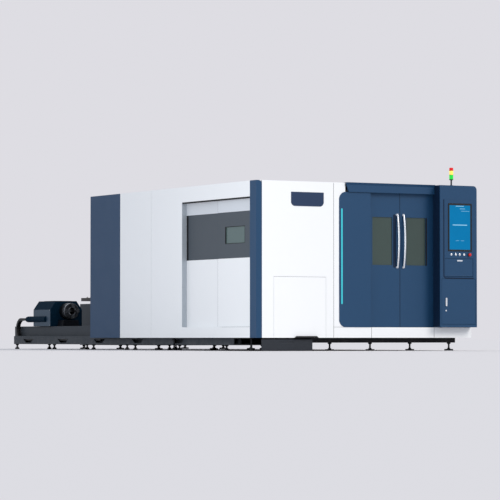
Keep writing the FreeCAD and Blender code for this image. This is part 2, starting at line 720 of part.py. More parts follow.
def signal_tower():
    """Thin pole on a round foot, with a collar under three stacked lamps."""
    radius = D.tower_dia / 2
    spot = (D.tower_at, D.tower_back)
    base = rod(D.tower_base / 2, (*spot, D.panel_top), D.base_thick)
    pole = rod(D.pole_dia / 2, (*spot, D.panel_top), D.pole_rise)
    low = D.panel_top + D.pole_rise
    collar = rod(radius, (*spot, low - D.collar_thick), D.collar_thick)
    node(joined([base, pole, collar]), "signal_pole")
    for colour, tall in (("green", D.green_tall), ("yellow", D.yellow_tall), ("red", D.red_tall)):
        node(rod(radius, (*spot, low), tall), "signal_lamp_" + colour)
        low = low + tall


# Main bed and cutting gantry ------------------------------------------------------------------

LEFT_BEAM = (D.bed_left, D.bed_left + D.bed_beam)
RIGHT_BEAM = (D.bed_right - D.bed_beam, D.bed_right)


def main_bed():
    """Welded side beams and cross members, with the pallet runways."""
    run = (D.bed_front, D.bed_rear)
    bars = [block(x, run, (D.bed_low, D.bed_high)) for x in (LEFT_BEAM, RIGHT_BEAM)]
    middle = (D.bed_front + D.bed_rear - D.cross_wide) / 2
    for at in (D.bed_front, middle, D.bed_rear - D.cross_wide):
        bars.append(block((D.bed_left, D.bed_right), (at, at + D.cross_wide),
                          (D.bed_low, D.cross_high)))
    edge = D.lift_rail_wide
    for start in (D.pallet_left, D.pallet_right - edge):
        bars.append(block((start, start + edge), run, (D.cross_high, D.pallet_low - D.runway_gap)))
    node(joined(bars), "main_bed")


def linear_rails():
    """Guide rails of the gantry and of the rear chuck."""
    run = (D.bed_front + D.rail_end, D.bed_rear - D.rail_end)
    tube_run = (D.tube_front + D.tube_rail_start, D.tube_rear - D.tube_rail_end)
    rails = []
    for beam in (LEFT_BEAM, RIGHT_BEAM):
        middle = (beam[0] + beam[1]) / 2
        rails.append(block((middle - D.rail_wide / 2, middle + D.rail_wide / 2), run,
                           (D.bed_high, D.bed_high + D.rail_high)))
    for start in (WALL_IN[0], WALL_IN[1] - D.tube_rail_wide):
        rails.append(block((start, start + D.tube_rail_wide), tube_run,
                           (D.tube_rail_low, D.tube_rail_high)))
    node(group(rails), "linear_rails")


BEAM_Y = (D.beam_front, D.beam_front + D.beam_deep)


def gantry():
    """Cross beam on two end trucks, reaching over the tube station."""
    beam = block((D.beam_left, D.bed_right), BEAM_Y, (D.beam_low, D.beam_high))
    low = D.bed_high + D.rail_high + D.rail_gap
    bars = [beam]
    front = D.beam_front - D.truck_front
    for x in (LEFT_BEAM, RIGHT_BEAM):
        bars.append(block(x, (front, front + D.truck_long), (low, D.beam_low)))
    node(joined(bars), "gantry_beam")


def cutting_head():
    """Carriage on the beam's front, and the head with its tapered nozzle."""
    half = D.carriage_wide / 2
    rear = D.beam_front - D.carriage_gap
    front = rear - D.carriage_thick
    wide = (D.carriage_at - half, D.carriage_at + half)
    node(block(wide, (front, rear), (D.carriage_low, D.carriage_high)), "head_carriage")
    radius = D.head_dia / 2
    spot = (D.carriage_at, front - radius - D.head_gap)
    barrel = rod(radius, (*spot, D.head_low), D.head_high - D.head_low)
    tip = taper(D.nozzle_tip / 2, D.nozzle_dia / 2, (*spot, D.nozzle_low), D.head_low - D.nozzle_low)
    node(joined([barrel, tip]), "cutting_head")


# Pallets and exchange table ------------------------------------------------------------------

def pallet(label, front, low):
    """Frame of square bars with upright slats across it."""
    wide = (D.pallet_left, D.pallet_right)
    run = (front, front + D.pallet_long)
    tall = (low, low + D.pallet_thick)
    bar = D.pallet_bar
    outer = block(wide, run, tall)
    middle = (run[0] + run[1]) / 2
    holes = []
    for y in ((run[0] + bar, middle - bar / 2), (middle + bar / 2, run[1] - bar)):
        holes.append(block((wide[0] + bar, wide[1] - bar), y, (tall[0] - 1, tall[1] + 1)))
    frame = less(outer, holes)
    slats = doc.addObject("Part::Feature", "slats")
    slats.Shape = slat_rows(wide, run, tall, bar)
    place(slats, sized(0), sized(0), sized(0))
    node(joined([frame, slats]), label)


def slat_rows(wide, run, tall, bar):
    """Slats at an even pitch, standing across the frame's side bars."""
    count = int(D.slat_count.value)
    pitch = (run[1].value - run[0].value - 2 * bar.value) / (count - 1)
    rows = []
    for i in range(count):
        row = Part.makeBox(wide[1].value - wide[0].value - bar.value, D.slat_thick.value,
                           D.pallet_thick.value)
        row.translate(FreeCAD.Vector(wide[0].value + bar.value / 2,
                                     run[0].value + bar.value - D.slat_thick.value / 2 + i * pitch,
                                     tall[0].value + D.slat_high.value))
        rows.append(row)
    return Part.makeCompound(rows)


def exchange_table():
    """Outer frame with covered sides, and the lifting frame with its two tiers of runways."""
    tube = D.table_tube
    right = D.pallet_right + D.pallet_left - D.table_left
    sides = ((D.table_left, D.table_left + tube), (right - tube, right))
    run = (D.table_front, D.table_rear)
    middle = (run[0] + run[1] - tube) / 2
    bars = []
    for x in sides:
        bars += [block(x, (y, y + tube), (tube, D.table_high))
                 for y in (run[0], middle, run[1] - tube)]
        bars += [block(x, run, (z, z + tube)) for z in (tube, D.table_high - tube)]
    bars += [block((sides[0][0], sides[1][1]), (y, y + tube), (tube, tube * 2))
             for y in (run[0], middle, run[1] - tube)]
    covers = ((sides[0][0], sides[0][0] + D.cover_thick), (sides[1][1] - D.cover_thick, sides[1][1]))
    bars += [block(x, run, (D.cover_low, D.table_high - tube)) for x in covers]
    node(joined(bars), "exchange_frame")
    lift_frame(run)


def lift_frame(run):
    """Two long plates with two shelves each, joined by cross members under the lower tier."""
    wall = D.lift_wall
    rail = D.lift_rail_wide
    slack = D.lift_slack
    inner = (run[0] + D.lift_end, run[1] - D.lift_overhang)
    low = D.pallet_low - D.runway_gap
    bars = []
    edges = ((D.pallet_left - slack - wall, D.pallet_left - slack, D.pallet_left + rail),
             (D.pallet_right + slack, D.pallet_right + slack + wall, D.pallet_right - rail))
    for start, end, reach in edges:
        bars.append(block((start, end), inner, (low - D.lift_skirt, low + D.tier_rise)))
        shelf = (start, reach) if reach.value > start.value else (reach, end)
        for level in (low, low + D.tier_rise):
            bars.append(block(shelf, inner, (level - D.lift_rail_high, level)))
    ends = (edges[0][0], edges[1][1])
    for y in (inner[0] + D.lift_cross_front, inner[1] - D.lift_cross_rear):
        bars.append(block(ends, (y, y + D.lift_cross), (low - D.lift_skirt, low - D.lift_rail_high)))
    node(joined(bars), "lift_frame")


# Tube station ---------------------------------------------------------------------------------

NOTCHES = 5
WALL_OUT = (D.tube_left + D.wall_set, D.tube_right - D.wall_set)
WALL_IN = (WALL_OUT[0] + D.wall_thick, WALL_OUT[1] - D.wall_thick)


def tube_bed():
    """Trough between two walls, with a cable channel outside each and a notched outer rim."""
    left = D.tube_left
    right = D.tube_right
    low = D.rim_low
    floor = low + D.rim_thick
    rim_in = (left + D.rim_thick, right - D.rim_thick)
    profile = [(left, low), (right, low), (right, D.rim_high), (rim_in[1], D.rim_high),
               (rim_in[1], floor), (WALL_OUT[1], floor), (WALL_OUT[1], D.wall_high),
               (WALL_IN[1], D.wall_high), (WALL_IN[1], floor), (WALL_IN[0], floor),
               (WALL_IN[0], D.wall_high), (WALL_OUT[0], D.wall_high), (WALL_OUT[0], floor),
               (rim_in[0], floor), (rim_in[0], D.rim_high), (left, D.rim_high)]
    body = new_body()
    pad(body, "XZ", D.tube_front, D.tube_rear, [profile])
    half = D.notch_wide / 2
    at = D.notch_first
    short = half - D.notch_taper
    shape = [(at - half, D.notch_high), (at + half, D.notch_high), (at + short, D.notch_low),
             (at - short, D.notch_low)]
    first = carve(body, "YZ", left - 1, left + D.rim_thick, [shape])
    rows = body.newObject("PartDesign::LinearPattern", "notches")
    rows.Originals = [first]
    rows.Direction = (origin_axis(body, "Y_Axis"), [""])
    rows.Occurrences = NOTCHES
    bind(rows, "Length", D.notch_pitch * (NOTCHES - 1))
    body.Tip = rows
    pad(body, "XZ", D.tube_rear, D.wall_rear,
        [rect((WALL_OUT[0], WALL_IN[0]), (floor, D.wall_high)),
         rect((WALL_IN[1], WALL_OUT[1]), (floor, D.wall_high))])
    middle = (D.bar_left, D.bar_left + D.bar_wide)
    pad(body, "XZ", D.tube_rear, D.bar_rear, [rect(middle, (D.bar_low, D.bar_high))])
    pad(body, "XZ", D.tube_rear - D.end_plate, D.tube_rear,
        [rect((rim_in[0], rim_in[1]), (floor, D.rim_high))])
    node(body, "tube_bed")


def origin_axis(body, role):
    return [f for f in body.Origin.OriginFeatures if f.Role == role][0]


def rear_chuck():
    """Travelling headstock with its duct, the spinning chuck and four jaws."""
    axis = D.chuck_axis
    half = D.chuck_half
    base = D.wall_high + D.chuck_clear
    left = axis - half
    right = axis + half
    outline = [(left, base), (right, base), (right, D.chuck_shoulder),
               (right - D.chuck_slope, D.chuck_top), (left + D.chuck_slope, D.chuck_top),
               (left, D.chuck_shoulder)]
    body = new_body()
    hole = [(axis, D.chuck_height, D.spindle_dia / 2 + D.spindle_play)]
    pad(body, "XZ", D.chuck_front, D.chuck_rear, [outline], hole)
    pad(body, "XZ", D.duct_front, D.duct_rear, [], [(D.duct_at, D.duct_high, D.duct_dia / 2)])
    shoe = D.shoe_wide
    beside = D.tube_rail_wide + D.shoe_play
    for start in (WALL_IN[0] + beside, WALL_IN[1] - beside - shoe):
        for y in (D.chuck_front + D.shoe_front, D.chuck_rear - D.shoe_rear):
            pad(body, "XY", D.tube_rail_low, base, [rect((start, start + shoe), (y, y + D.shoe_long))])
    node(body, "chuck_housing")
    chuck_spindle()
    jaws()


def chuck_spindle():
    """Chuck body, its nose and the hollow spindle through the housing."""
    spot = (D.chuck_axis, D.chuck_height)
    nose = D.chuck_front - D.chuck_nose
    behind = D.chuck_front - D.nose_gap
    tail = D.chuck_rear + D.spindle_tail
    body = new_body()
    bore = (*spot, D.chuck_bore / 2)
    pad(body, "XZ", nose, behind, [], [(*spot, D.chuck_dia / 2), bore])
    pad(body, "XZ", behind, tail, [], [(*spot, D.spindle_dia / 2), bore])
    node(body, "rear_chuck")


def jaws():
    """Four jaws in front of the chuck's face, numbered round the axis."""
    face = D.chuck_front - D.chuck_nose
    half = D.jaw_wide / 2
    near = D.jaw_reach
    far = D.jaw_reach + D.jaw_long
    x = D.chuck_axis
    z = D.chuck_height
    deep = (face - D.jaw_deep - D.jaw_gap, face - D.jaw_gap)
    across = (x - half, x + half)
    upright = (z - half, z + half)
    node(block((x + near, x + far), deep, upright), "chuck_jaw_1")
    node(block(across, deep, (z + near, z + far)), "chuck_jaw_2")
    node(block((x - far, x - near), deep, upright), "chuck_jaw_3")
    node(block(across, deep, (z - far, z - near)), "chuck_jaw_4")


def front_chuck():
    """Fixed housing near the cutting place and its rotating ring with guide rollers."""
    axis = D.chuck_axis
    height = D.chuck_height
    half = D.front_chuck_half
    start = D.front_chuck_front
    run = (start, start + D.front_chuck_deep)
    body = new_body()
    radius = D.front_chuck_dia / 2
    pad(body, "XZ", run[0], run[1], [rect((axis - half, axis + half), (D.wall_high, D.front_chuck_top))],
        [(axis, height, radius + D.ring_play)])
    node(body, "front_chuck_housing")
    wheel = new_body()
    window = D.jaw_reach
    hole = rect((axis - window, axis + window), (height - window, height + window))
    pad(wheel, "XZ", run[0] - D.ring_proud, run[1] + D.ring_proud, [hole], [(axis, height, radius)])
    node(wheel, "front_chuck")


def drag_chain():
    """Energy chain from the duct, over its loop and back along the left cable channel."""
    half = D.chain_thick.value / 2
    high = D.duct_high.value
    low = D.chain_low.value
    radius = (high - low) / 2
    turn = D.chain_turn.value
    start = D.duct_rear.value + D.chain_gap.value
    fixed = D.chain_fixed.value
    middle = (high + low) / 2
    left = D.chain_at.value - D.chain_wide.value / 2

    def spot(y, z):
        return FreeCAD.Vector(left, y, z)

    def arc(reach):
        top = spot(turn, middle + reach)
        return Part.Arc(top, spot(turn + reach, middle), spot(turn, middle - reach)).toShape()

    outer = radius + half
    inner = radius - half
    edges = [Part.makeLine(spot(start, high + half), spot(turn, high + half)), arc(outer),
             Part.makeLine(spot(turn, low - half), spot(fixed, low - half)),
             Part.makeLine(spot(fixed, low - half), spot(fixed, low + half)),
             Part.makeLine(spot(fixed, low + half), spot(turn, low + half)), arc(inner),
             Part.makeLine(spot(turn, high - half), spot(start, high - half)),
             Part.makeLine(spot(start, high - half), spot(start, high + half))]
    face = Part.Face(Part.Wire(Part.__sortEdges__(edges)))
    chain = doc.addObject("Part::Feature", "chain")
    chain.Shape = face.extrude(FreeCAD.Vector(D.chain_wide.value, 0, 0))
    place(chain, sized(0), sized(0), sized(0))
    node(chain, "drag_chain")


# Feet and drawer --------------------------------------------------------------------------------

def foot(x, y, top, pad_dia):
    """Round pad, nut and threaded stem."""
    disc = rod(pad_dia / 2, (x, y, sized(0)), D.foot_thick)
    nut = rod(D.foot_stem, (x, y, top - D.nut_high), D.nut_high)
    stem = rod(D.foot_stem / 2, (x, y, sized(0)), top)
    return joined([disc, nut, stem])


def levelling_feet():
    """Rows of feet under the beds, the cabin's posts and the exchange table."""
    feet = []
    half = D.cross_wide / 2
    for y in (D.bed_front + half, D.bed_rear - half):
        for i in range(4):
            feet.append(foot(D.foot_first + D.foot_pitch * i, y, D.bed_low, D.foot_dia))
    under = D.panel_bottom + D.frame_gap
    for y in (D.trim_side + D.side_foot_front, D.recess_rear + D.side_foot_rear):
        feet.append(foot(D.side_foot_at, y, under, D.foot_small))
    feet.append(foot(D.enc_width - D.side_foot_at, D.enc_depth - D.rear_foot, under, D.foot_small))
    for x in (D.tube_foot_left, D.tube_foot_right):
        for i in range(6):
            y = D.tube_foot_first + D.tube_foot_pitch * i
            feet.append(foot(x, y, D.rim_low, D.foot_small))
    right = D.pallet_right + D.pallet_left - D.table_left
    for x in (D.table_left + D.table_tube / 2, right - D.table_tube / 2):
        for y in (D.table_front + D.table_foot, (D.table_front + D.table_rear) / 2,
                  D.table_rear - D.table_foot):
            feet.append(foot(x, y, D.table_tube, D.foot_dia))
    node(group(feet), "levelling_feet")


def scrap_drawer():
    """Wide front plate with an open-topped box behind it, near the floor under the left panel."""
    wall = D.drawer_wall
    wide = (D.drawer_box_left, D.drawer_box_right)
    back = D.drawer_front + D.drawer_plate
    tall = (D.drawer_low, D.drawer_high)
    plate = block((D.drawer_left, D.drawer_right), (D.drawer_front, back), tall)
    box = block(wide, (back, D.drawer_rear), tall)
    inner = block((wide[0] + wall, wide[1] - wall), (back, D.drawer_rear - wall),
                  (D.drawer_low + wall, D.drawer_high + 1))
    node(less(joined([plate, box]), [inner]), "scrap_drawer")


def build():
    for make in (corner_trim, side_frame_panels, side_fixed_leaf, side_door, side_panels,
                 front_left_panel, outlet_door, front_surround, blue_panel, front_header,
                 lower_band, right_and_rear, roof_panel, enclosure_frame, door_track,
                 front_doors, console_shell, control_screen, keyboard_flap, cabinet_door,
                 push_buttons, emergency_stop, signal_tower, main_bed, linear_rails, gantry,
                 cutting_head, exchange_table, tube_bed, rear_chuck, front_chuck, drag_chain,
                 levelling_feet, scrap_drawer):
        make()
    pallet("pallet_lower", D.pallet_front, D.pallet_low)
    pallet("pallet_upper", D.pallet_front + D.pallet_travel, D.pallet_low + D.tier_rise)


def check():
    """Stop if anything failed to build."""
    doc.recompute()
    for item in doc.Objects:
        if "Invalid" in item.State or "Error" in item.State:
            raise ValueError(f"{item.Name} ({item.Label}) failed: {item.State}")
    for item in nodes:
        if item.Shape.isNull() or not item.Shape.isValid() or not item.Shape.Solids:
            raise ValueError(item.Label + " has no valid shape")


def export():
    os.makedirs("parts", exist_ok=True)
    for item in nodes:
        item.Shape.exportStep(f"parts/{item.Label}.step")
        box = item.Shape.BoundBox
        print(f"{item.Label:22s} {len(item.Shape.Solids):3d} solids "
              f"{box.XLength:8.1f} {box.YLength:8.1f} {box.ZLength:8.1f}")
    print(len(nodes), "nodes")


build()
check()
export()
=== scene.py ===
import json
import math

import bmesh
import bpy
from mathutils import Matrix, Vector


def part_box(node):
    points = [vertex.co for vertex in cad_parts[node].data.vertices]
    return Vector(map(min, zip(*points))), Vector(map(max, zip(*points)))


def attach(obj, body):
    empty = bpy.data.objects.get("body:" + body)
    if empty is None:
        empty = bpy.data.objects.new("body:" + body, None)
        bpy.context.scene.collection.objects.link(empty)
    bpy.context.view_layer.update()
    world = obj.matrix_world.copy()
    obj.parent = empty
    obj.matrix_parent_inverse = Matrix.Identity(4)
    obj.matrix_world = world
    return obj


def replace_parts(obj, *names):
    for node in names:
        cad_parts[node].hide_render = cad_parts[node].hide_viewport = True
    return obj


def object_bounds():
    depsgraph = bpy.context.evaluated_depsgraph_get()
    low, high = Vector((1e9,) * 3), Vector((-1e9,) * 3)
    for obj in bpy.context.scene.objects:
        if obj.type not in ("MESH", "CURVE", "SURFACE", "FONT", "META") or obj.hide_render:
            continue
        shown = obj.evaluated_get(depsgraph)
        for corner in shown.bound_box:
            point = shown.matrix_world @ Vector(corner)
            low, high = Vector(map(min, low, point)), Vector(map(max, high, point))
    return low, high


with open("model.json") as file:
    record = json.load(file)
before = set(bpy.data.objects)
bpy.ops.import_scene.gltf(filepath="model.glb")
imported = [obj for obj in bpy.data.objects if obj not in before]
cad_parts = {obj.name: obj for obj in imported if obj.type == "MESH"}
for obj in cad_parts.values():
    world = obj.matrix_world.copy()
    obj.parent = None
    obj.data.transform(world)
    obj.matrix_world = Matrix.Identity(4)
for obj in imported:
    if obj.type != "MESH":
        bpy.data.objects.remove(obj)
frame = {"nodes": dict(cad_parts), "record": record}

# A combined sheet and tube laser cutter: cabin, console, signal tower, tube bed with its travelling
# chuck, and exchange table with two pallets. Lengths are metres; X runs to the console side, Y from
# the operator's face to the rear, Z up from the floor.

CAD_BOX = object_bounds()
NODES = frame["nodes"]
BODY_OF = {n: body for body, names in frame["record"]["behaviour"]["bodies"].items() for n in names}
X, Y, Z = 0, 1, 2
SKIN = 0.0015          # thickness of trims that lie on a sheet
HAIR = 0.0005          # a gap too small to see
SEAM = 0.004           # width of the dark joints between sheets
BEYOND = 1.0           # how far a cutter runs out past its sheet
FACING = 0.99          # a normal's least share along the way it looks
NEAR = 1e-5            # two places closer than this are one
NEARER = 1e-6
LEFT_FACE = CAD_BOX[0][X]
FRONT_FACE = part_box("front_left_panel")[0].y
RECESS_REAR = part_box("side_frame_panels")[1].y
BUTTONS = [f"push_button_{i}" for i in range(1, 5)]


# Modelling ----------------------------------------

def deselect_all():
    bpy.ops.object.select_all(action="DESELECT")


def activate(piece):
    deselect_all()
    piece.select_set(True)
    bpy.context.view_layer.objects.active = piece
    return piece


def placed(name, data):
    """A new object that holds some data."""
    made = bpy.data.objects.new(name, data)
    bpy.context.collection.objects.link(made)
    return made


def settle(piece):
    """Put a piece's place, turn and scale into its mesh."""
    activate(piece)
    bpy.ops.object.transform_apply(location=True, rotation=True, scale=True)
    return piece


def block(name, low, high):
    """A box between two corners, ready to be shaped."""
    deselect_all()
    middle = [(a + b) / 2 for a, b in zip(low, high)]
    bpy.ops.mesh.primitive_cube_add(size=1, location=middle)
    piece = bpy.context.object
    piece.name = name
    piece.scale = [b - a for a, b in zip(low, high)]
    return settle(piece)


def pick(piece, kind, test):
    """Enter edit mode with only the faces or edges selected that pass a test."""
    activate(piece)
    bpy.ops.object.mode_set(mode="EDIT")
    bpy.ops.mesh.select_mode(type=kind)
    bpy.ops.mesh.select_all(action="DESELECT")
    shape = bmesh.from_edit_mesh(piece.data)
    for item in (shape.faces if kind == "FACE" else shape.edges):
        if test(item):
            item.select_set(True)
    bmesh.update_edit_mesh(piece.data)


def done():
    bpy.ops.object.mode_set(mode="OBJECT")


def edit_all(piece):
    """Enter edit mode with the whole piece selected."""
    activate(piece)
    bpy.ops.object.mode_set(mode="EDIT")
    bpy.ops.mesh.select_all(action="SELECT")


def close_up():
    """Merge doubles, turn the faces outwards and leave edit mode."""
    bpy.ops.mesh.select_all(action="SELECT")
    bpy.ops.mesh.remove_doubles(threshold=NEARER)
    bpy.ops.mesh.normals_make_consistent(inside=False)
    done()


def taper(piece, axis, scale):
    """Shrink the faces that look up an axis."""
    pick(piece, "FACE", lambda f: f.normal[axis] > FACING)
    bpy.ops.transform.resize(value=scale)
    done()
    return piece


def lies_along(edge, axis):
    run = edge.verts[1].co - edge.verts[0].co
    return run.length > 0 and abs(run[axis]) / run.length > 0.999


def round_corners(piece, axis, radius, where=lambda spot: True, segments=8):
    """Round the edges that run along an axis and whose middles pass a test."""
    pick(piece, "EDGE", lambda e: lies_along(e, axis) and where((e.verts[0].co + e.verts[1].co) / 2))
    bpy.ops.mesh.bevel(offset=radius, segments=segments, affect="EDGES")
    done()
    return piece


def inset(piece, axis, sign, border, depth):
    """Inset the faces that look along an axis, then raise them, or sink them if depth is negative."""
    pick(piece, "FACE", lambda f: f.normal[axis] * sign > FACING)
    bpy.ops.mesh.inset(thickness=border, depth=depth)
    done()
    return piece


def soften(piece, width, segments=2, angle=30):
    """Break the sharp edges and smooth what is left."""
    activate(piece)
    bevel = piece.modifiers.new("edges", "BEVEL")
    bevel.width = width
    bevel.segments = segments
    bevel.limit_method = "ANGLE"
    bevel.angle_limit = math.radians(angle)
    bpy.ops.object.modifier_apply(modifier=bevel.name)
    bpy.ops.object.shade_smooth_by_angle(angle=math.radians(angle))
    even = piece.modifiers.new("flat faces", "WEIGHTED_NORMAL")
    even.keep_sharp = True
    bpy.ops.object.modifier_apply(modifier=even.name)
    return piece


def cut(piece, cutter):
    """Take one shape out of another."""
    activate(piece)
    tool = piece.modifiers.new("cut", "BOOLEAN")
    tool.operation = "DIFFERENCE"
    tool.solver = "EXACT"
    tool.object = cutter
    bpy.ops.object.modifier_apply(modifier=tool.name)
    bpy.data.objects.remove(cutter, do_unlink=True)
    return piece


def join(name, parts):
    activate(parts[0])
    for part in parts[1:]:
        part.select_set(True)
    if len(parts) > 1:
        bpy.ops.object.join()
    parts[0].name = name
    return parts[0]


def copy_of(piece, shift=(0, 0, 0), turn=None):
    """A copy with its own mesh, turned about the origin and then moved."""
    twin = placed(piece.name, piece.data.copy())
    place = Matrix.Translation(Vector(shift))
    twin.data.transform(place @ turn if turn else place)
    return twin


def spread(name, piece, places):
    """Copies of a piece at several places, as one object."""
    twins = [copy_of(piece, place) for place in places]
    bpy.data.objects.remove(piece, do_unlink=True)
    return join(name, twins)


UPRIGHT = {X: (0, math.pi / 2, 0), Y: (-math.pi / 2, 0, 0), Z: (0, 0, 0)}


def turned(name, centre, axis, profile, sides=48, hollow=False):
    """A turned piece, drawn out ring by ring from (radius, place along the axis)."""
    deselect_all()
    radius, at = profile[0]
    fill = "NOTHING" if hollow else "NGON"
    bpy.ops.mesh.primitive_circle_add(vertices=sides, radius=radius, fill_type=fill, location=(0, 0, at))
    piece = bpy.context.object
    piece.name = name
    settle(piece)
    bpy.ops.object.mode_set(mode="EDIT")
    bpy.ops.mesh.select_mode(type="EDGE" if hollow else "FACE")
    bpy.ops.mesh.select_all(action="SELECT")
    for wider, along in profile[1:]:
        bpy.ops.mesh.extrude_region_move(TRANSFORM_OT_translate={"value": (0, 0, along - at)})
        bpy.ops.transform.resize(value=(wider / radius, wider / radius, 1))
        radius, at = wider, along
    close_up()
    piece.rotation_euler = UPRIGHT[axis]
    piece.location = centre
    return settle(piece)


def ring_profile(inner, outer, start, end):
    return [(inner, start), (outer, start), (outer, end), (inner, end), (inner, start)]


def hexagon(name, centre, axis, across, start, end):
    """A hexagon head or nut with chamfered corners."""
    radius = across / 2
    slim = radius * 0.9
    edge = (end - start) * 0.15
    profile = [(slim, start), (radius, start + edge), (radius, end - edge), (slim, end)]
    return turned(name, centre, axis, profile, sides=6)


def merged_copy(node):
    """A copy of a node's mesh with its triangles joined into whole faces."""
    piece = placed(node + "_body", NODES[node].data.copy())
    piece.data.materials.clear()
    edit_all(piece)
    bpy.ops.mesh.remove_doubles(threshold=NEAR)
    bpy.ops.mesh.dissolve_limited(angle_limit=math.radians(0.5))
    done()
    return piece


def ride_on(node, material, piece, edge=0.0, segments=2, angle=30):
    """Break a piece's edges, give it its finish and let it ride with a node's body."""
    if edge:
        soften(piece, edge, segments, angle)
    piece.data.materials.clear()
    piece.data.materials.append(material)
    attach(piece, BODY_OF[node])
    return piece


def stand_for(node, material, piece, edge=0.0, segments=2, angle=30):
    """The same, for a piece that takes the node's place."""
    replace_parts(ride_on(node, material, piece, edge, segments, angle), node)


def bolt_circle(centre, radius, count=8):
    """Spots on a circle about a Y axis, with none at its top."""
    turns = [math.tau * (i + 0.5) / count for i in range(count)]
    return [(centre[X] + radius * math.cos(turn), centre[Y], centre[Z] + radius * math.sin(turn))
        for turn in turns]


def measures(node):
    """A node's low and high corners, its middle and half its width."""
    low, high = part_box(node)
    return low, high, (low + high) / 2, (high.x - low.x) / 2


# Shared effects ----------------------------------------

COLOUR = "NodeSocketColor"
NUMBER = "NodeSocketFloat"
DIRECTION = "NodeSocketVector"


class Effect:
    """A shader node group with named inputs and outputs, and short ways to wire its nodes."""

    def __init__(self, name, inputs, outputs):
        self.tree = bpy.data.node_groups.new(name, "ShaderNodeTree")
        for label, kind, value in inputs:
            socket = self.tree.interface.new_socket(name=label, in_out="INPUT", socket_type=kind)
            socket.default_value = value
        for label, kind in outputs:
            self.tree.interface.new_socket(name=label, in_out="OUTPUT", socket_type=kind)
        self.given = self.tree.nodes.new("NodeGroupInput").outputs
        self.result = self.tree.nodes.new("NodeGroupOutput").inputs

    def add(self, kind, **settings):
        made = self.tree.nodes.new(kind)
        for key, value in settings.items():
            setattr(made, key, value)
        return made

    def wire(self, start, end):
        self.tree.links.new(start, end)

    def feed(self, value, socket):
        """Set a socket to a number, or wire another node's result to it."""
        if isinstance(value, (int, float)):
            socket.default_value = value
        else:
            self.wire(value, socket)

    def reckon(self, operation, *values):
        made = self.add("ShaderNodeMath", operation=operation)
        for value, socket in zip(values, made.inputs):
            self.feed(value, socket)
        return made.outputs[0]

    def place(self, stretch=None):
        """Object coordinates, stretched by a vector if one is given."""
        where = self.add("ShaderNodeTexCoord").outputs["Object"]
        if stretch is None:
            return where
        scaled = self.add("ShaderNodeVectorMath", operation="MULTIPLY")
        self.wire(where, scaled.inputs[0])
        self.wire(stretch, scaled.inputs[1])
        return scaled.outputs["Vector"]

    def noise(self, where, scale, detail=2.0, roughness=0.5):
        made = self.add("ShaderNodeTexNoise")
        self.wire(where, made.inputs["Vector"])
        made.inputs["Detail"].default_value = detail
        made.inputs["Roughness"].default_value = roughness
        self.feed(scale, made.inputs["Scale"])
        return made.outputs["Fac"]

    def about(self, value, centre, reach):
        """A noise value, 0 to 1, spread evenly about a centre."""
        return self.reckon("MULTIPLY_ADD", self.reckon("SUBTRACT", value, 0.5), reach, centre)

    def shaded(self, tone, amount):
        """A colour made lighter or darker by a factor."""
        made = self.add("ShaderNodeHueSaturation")
        self.wire(tone, made.inputs["Color"])
        self.wire(amount, made.inputs["Value"])
        return made.outputs["Color"]

    def blended(self, mask, first, second):
        made = self.add("ShaderNodeMix", data_type="RGBA")
        self.wire(mask, made.inputs["Factor"])
        self.wire(first, made.inputs["A"])
        self.wire(second, made.inputs["B"])
        return made.outputs["Result"]

    def ramp(self, value, low, high, start=0.0, end=1.0):
        made = self.add("ShaderNodeMapRange", clamp=True)
        self.wire(value, made.inputs["Value"])
        for label, amount in (("From Min", low), ("From Max", high), ("To Min", start), ("To Max", end)):
            made.inputs[label].default_value = amount
        return made.outputs["Result"]


GREY = (0.5, 0.5, 0.5, 1)
SURFACE = [("Color", COLOUR), ("Roughness", NUMBER), ("Height", NUMBER)]


def powder_coat():
    """Baked powder paint: broad drifts of tone, cloudy gloss and a fine orange peel."""
    fx = Effect("powder_coat", [("Tone", COLOUR, GREY), ("Drift", NUMBER, 0.04), ("Gloss", NUMBER, 0.4),
        ("Peel", NUMBER, 420.0)], SURFACE)
    where = fx.place()
    cloud = fx.noise(where, 0.9, 4.0)
    fx.wire(fx.shaded(fx.given["Tone"], fx.about(cloud, 1.0, fx.given["Drift"])), fx.result["Color"])
    fx.wire(fx.about(fx.noise(where, 3.2, 5.0, 0.6), fx.given["Gloss"], 0.12), fx.result["Roughness"])
    fx.wire(fx.noise(where, fx.given["Peel"], 1.5), fx.result["Height"])
    return fx.tree


def worked_metal():
    """Drawn or ground metal: streaks along one direction, in tone, gloss and relief."""
    fx = Effect("worked_metal", [("Tone", COLOUR, GREY), ("Streak", NUMBER, 0.25),
        ("Gloss", NUMBER, 0.35), ("Grain", DIRECTION, (1, 1, 1))], SURFACE)
    lines = fx.noise(fx.place(fx.given["Grain"]), 1.0, 3.0, 0.65)
    cloud = fx.noise(fx.place(), 6.0, 3.0)
    streaked = fx.shaded(fx.given["Tone"], fx.about(lines, 1.0, fx.given["Streak"]))
    fx.wire(fx.shaded(streaked, fx.about(cloud, 1.0, 0.12)), fx.result["Color"])
    fx.wire(fx.about(lines, fx.given["Gloss"], 0.22), fx.result["Roughness"])
    fx.wire(lines, fx.result["Height"])
    return fx.tree


def moulded_grain():
    """Moulded plastic and rubber: an even spark-eroded grain with slight bloom."""
    fx = Effect("moulded_grain", [("Tone", COLOUR, GREY), ("Bloom", NUMBER, 0.08),
        ("Gloss", NUMBER, 0.45), ("Grain", NUMBER, 900.0)], SURFACE)
    where = fx.place()
    bloom = fx.noise(where, 7.0, 4.0)
    fx.wire(fx.shaded(fx.given["Tone"], fx.about(bloom, 1.0, fx.given["Bloom"])), fx.result["Color"])
    fx.wire(fx.about(bloom, fx.given["Gloss"], 0.14), fx.result["Roughness"])
    fx.wire(fx.noise(where, fx.given["Grain"], 2.0, 0.7), fx.result["Height"])
    return fx.tree


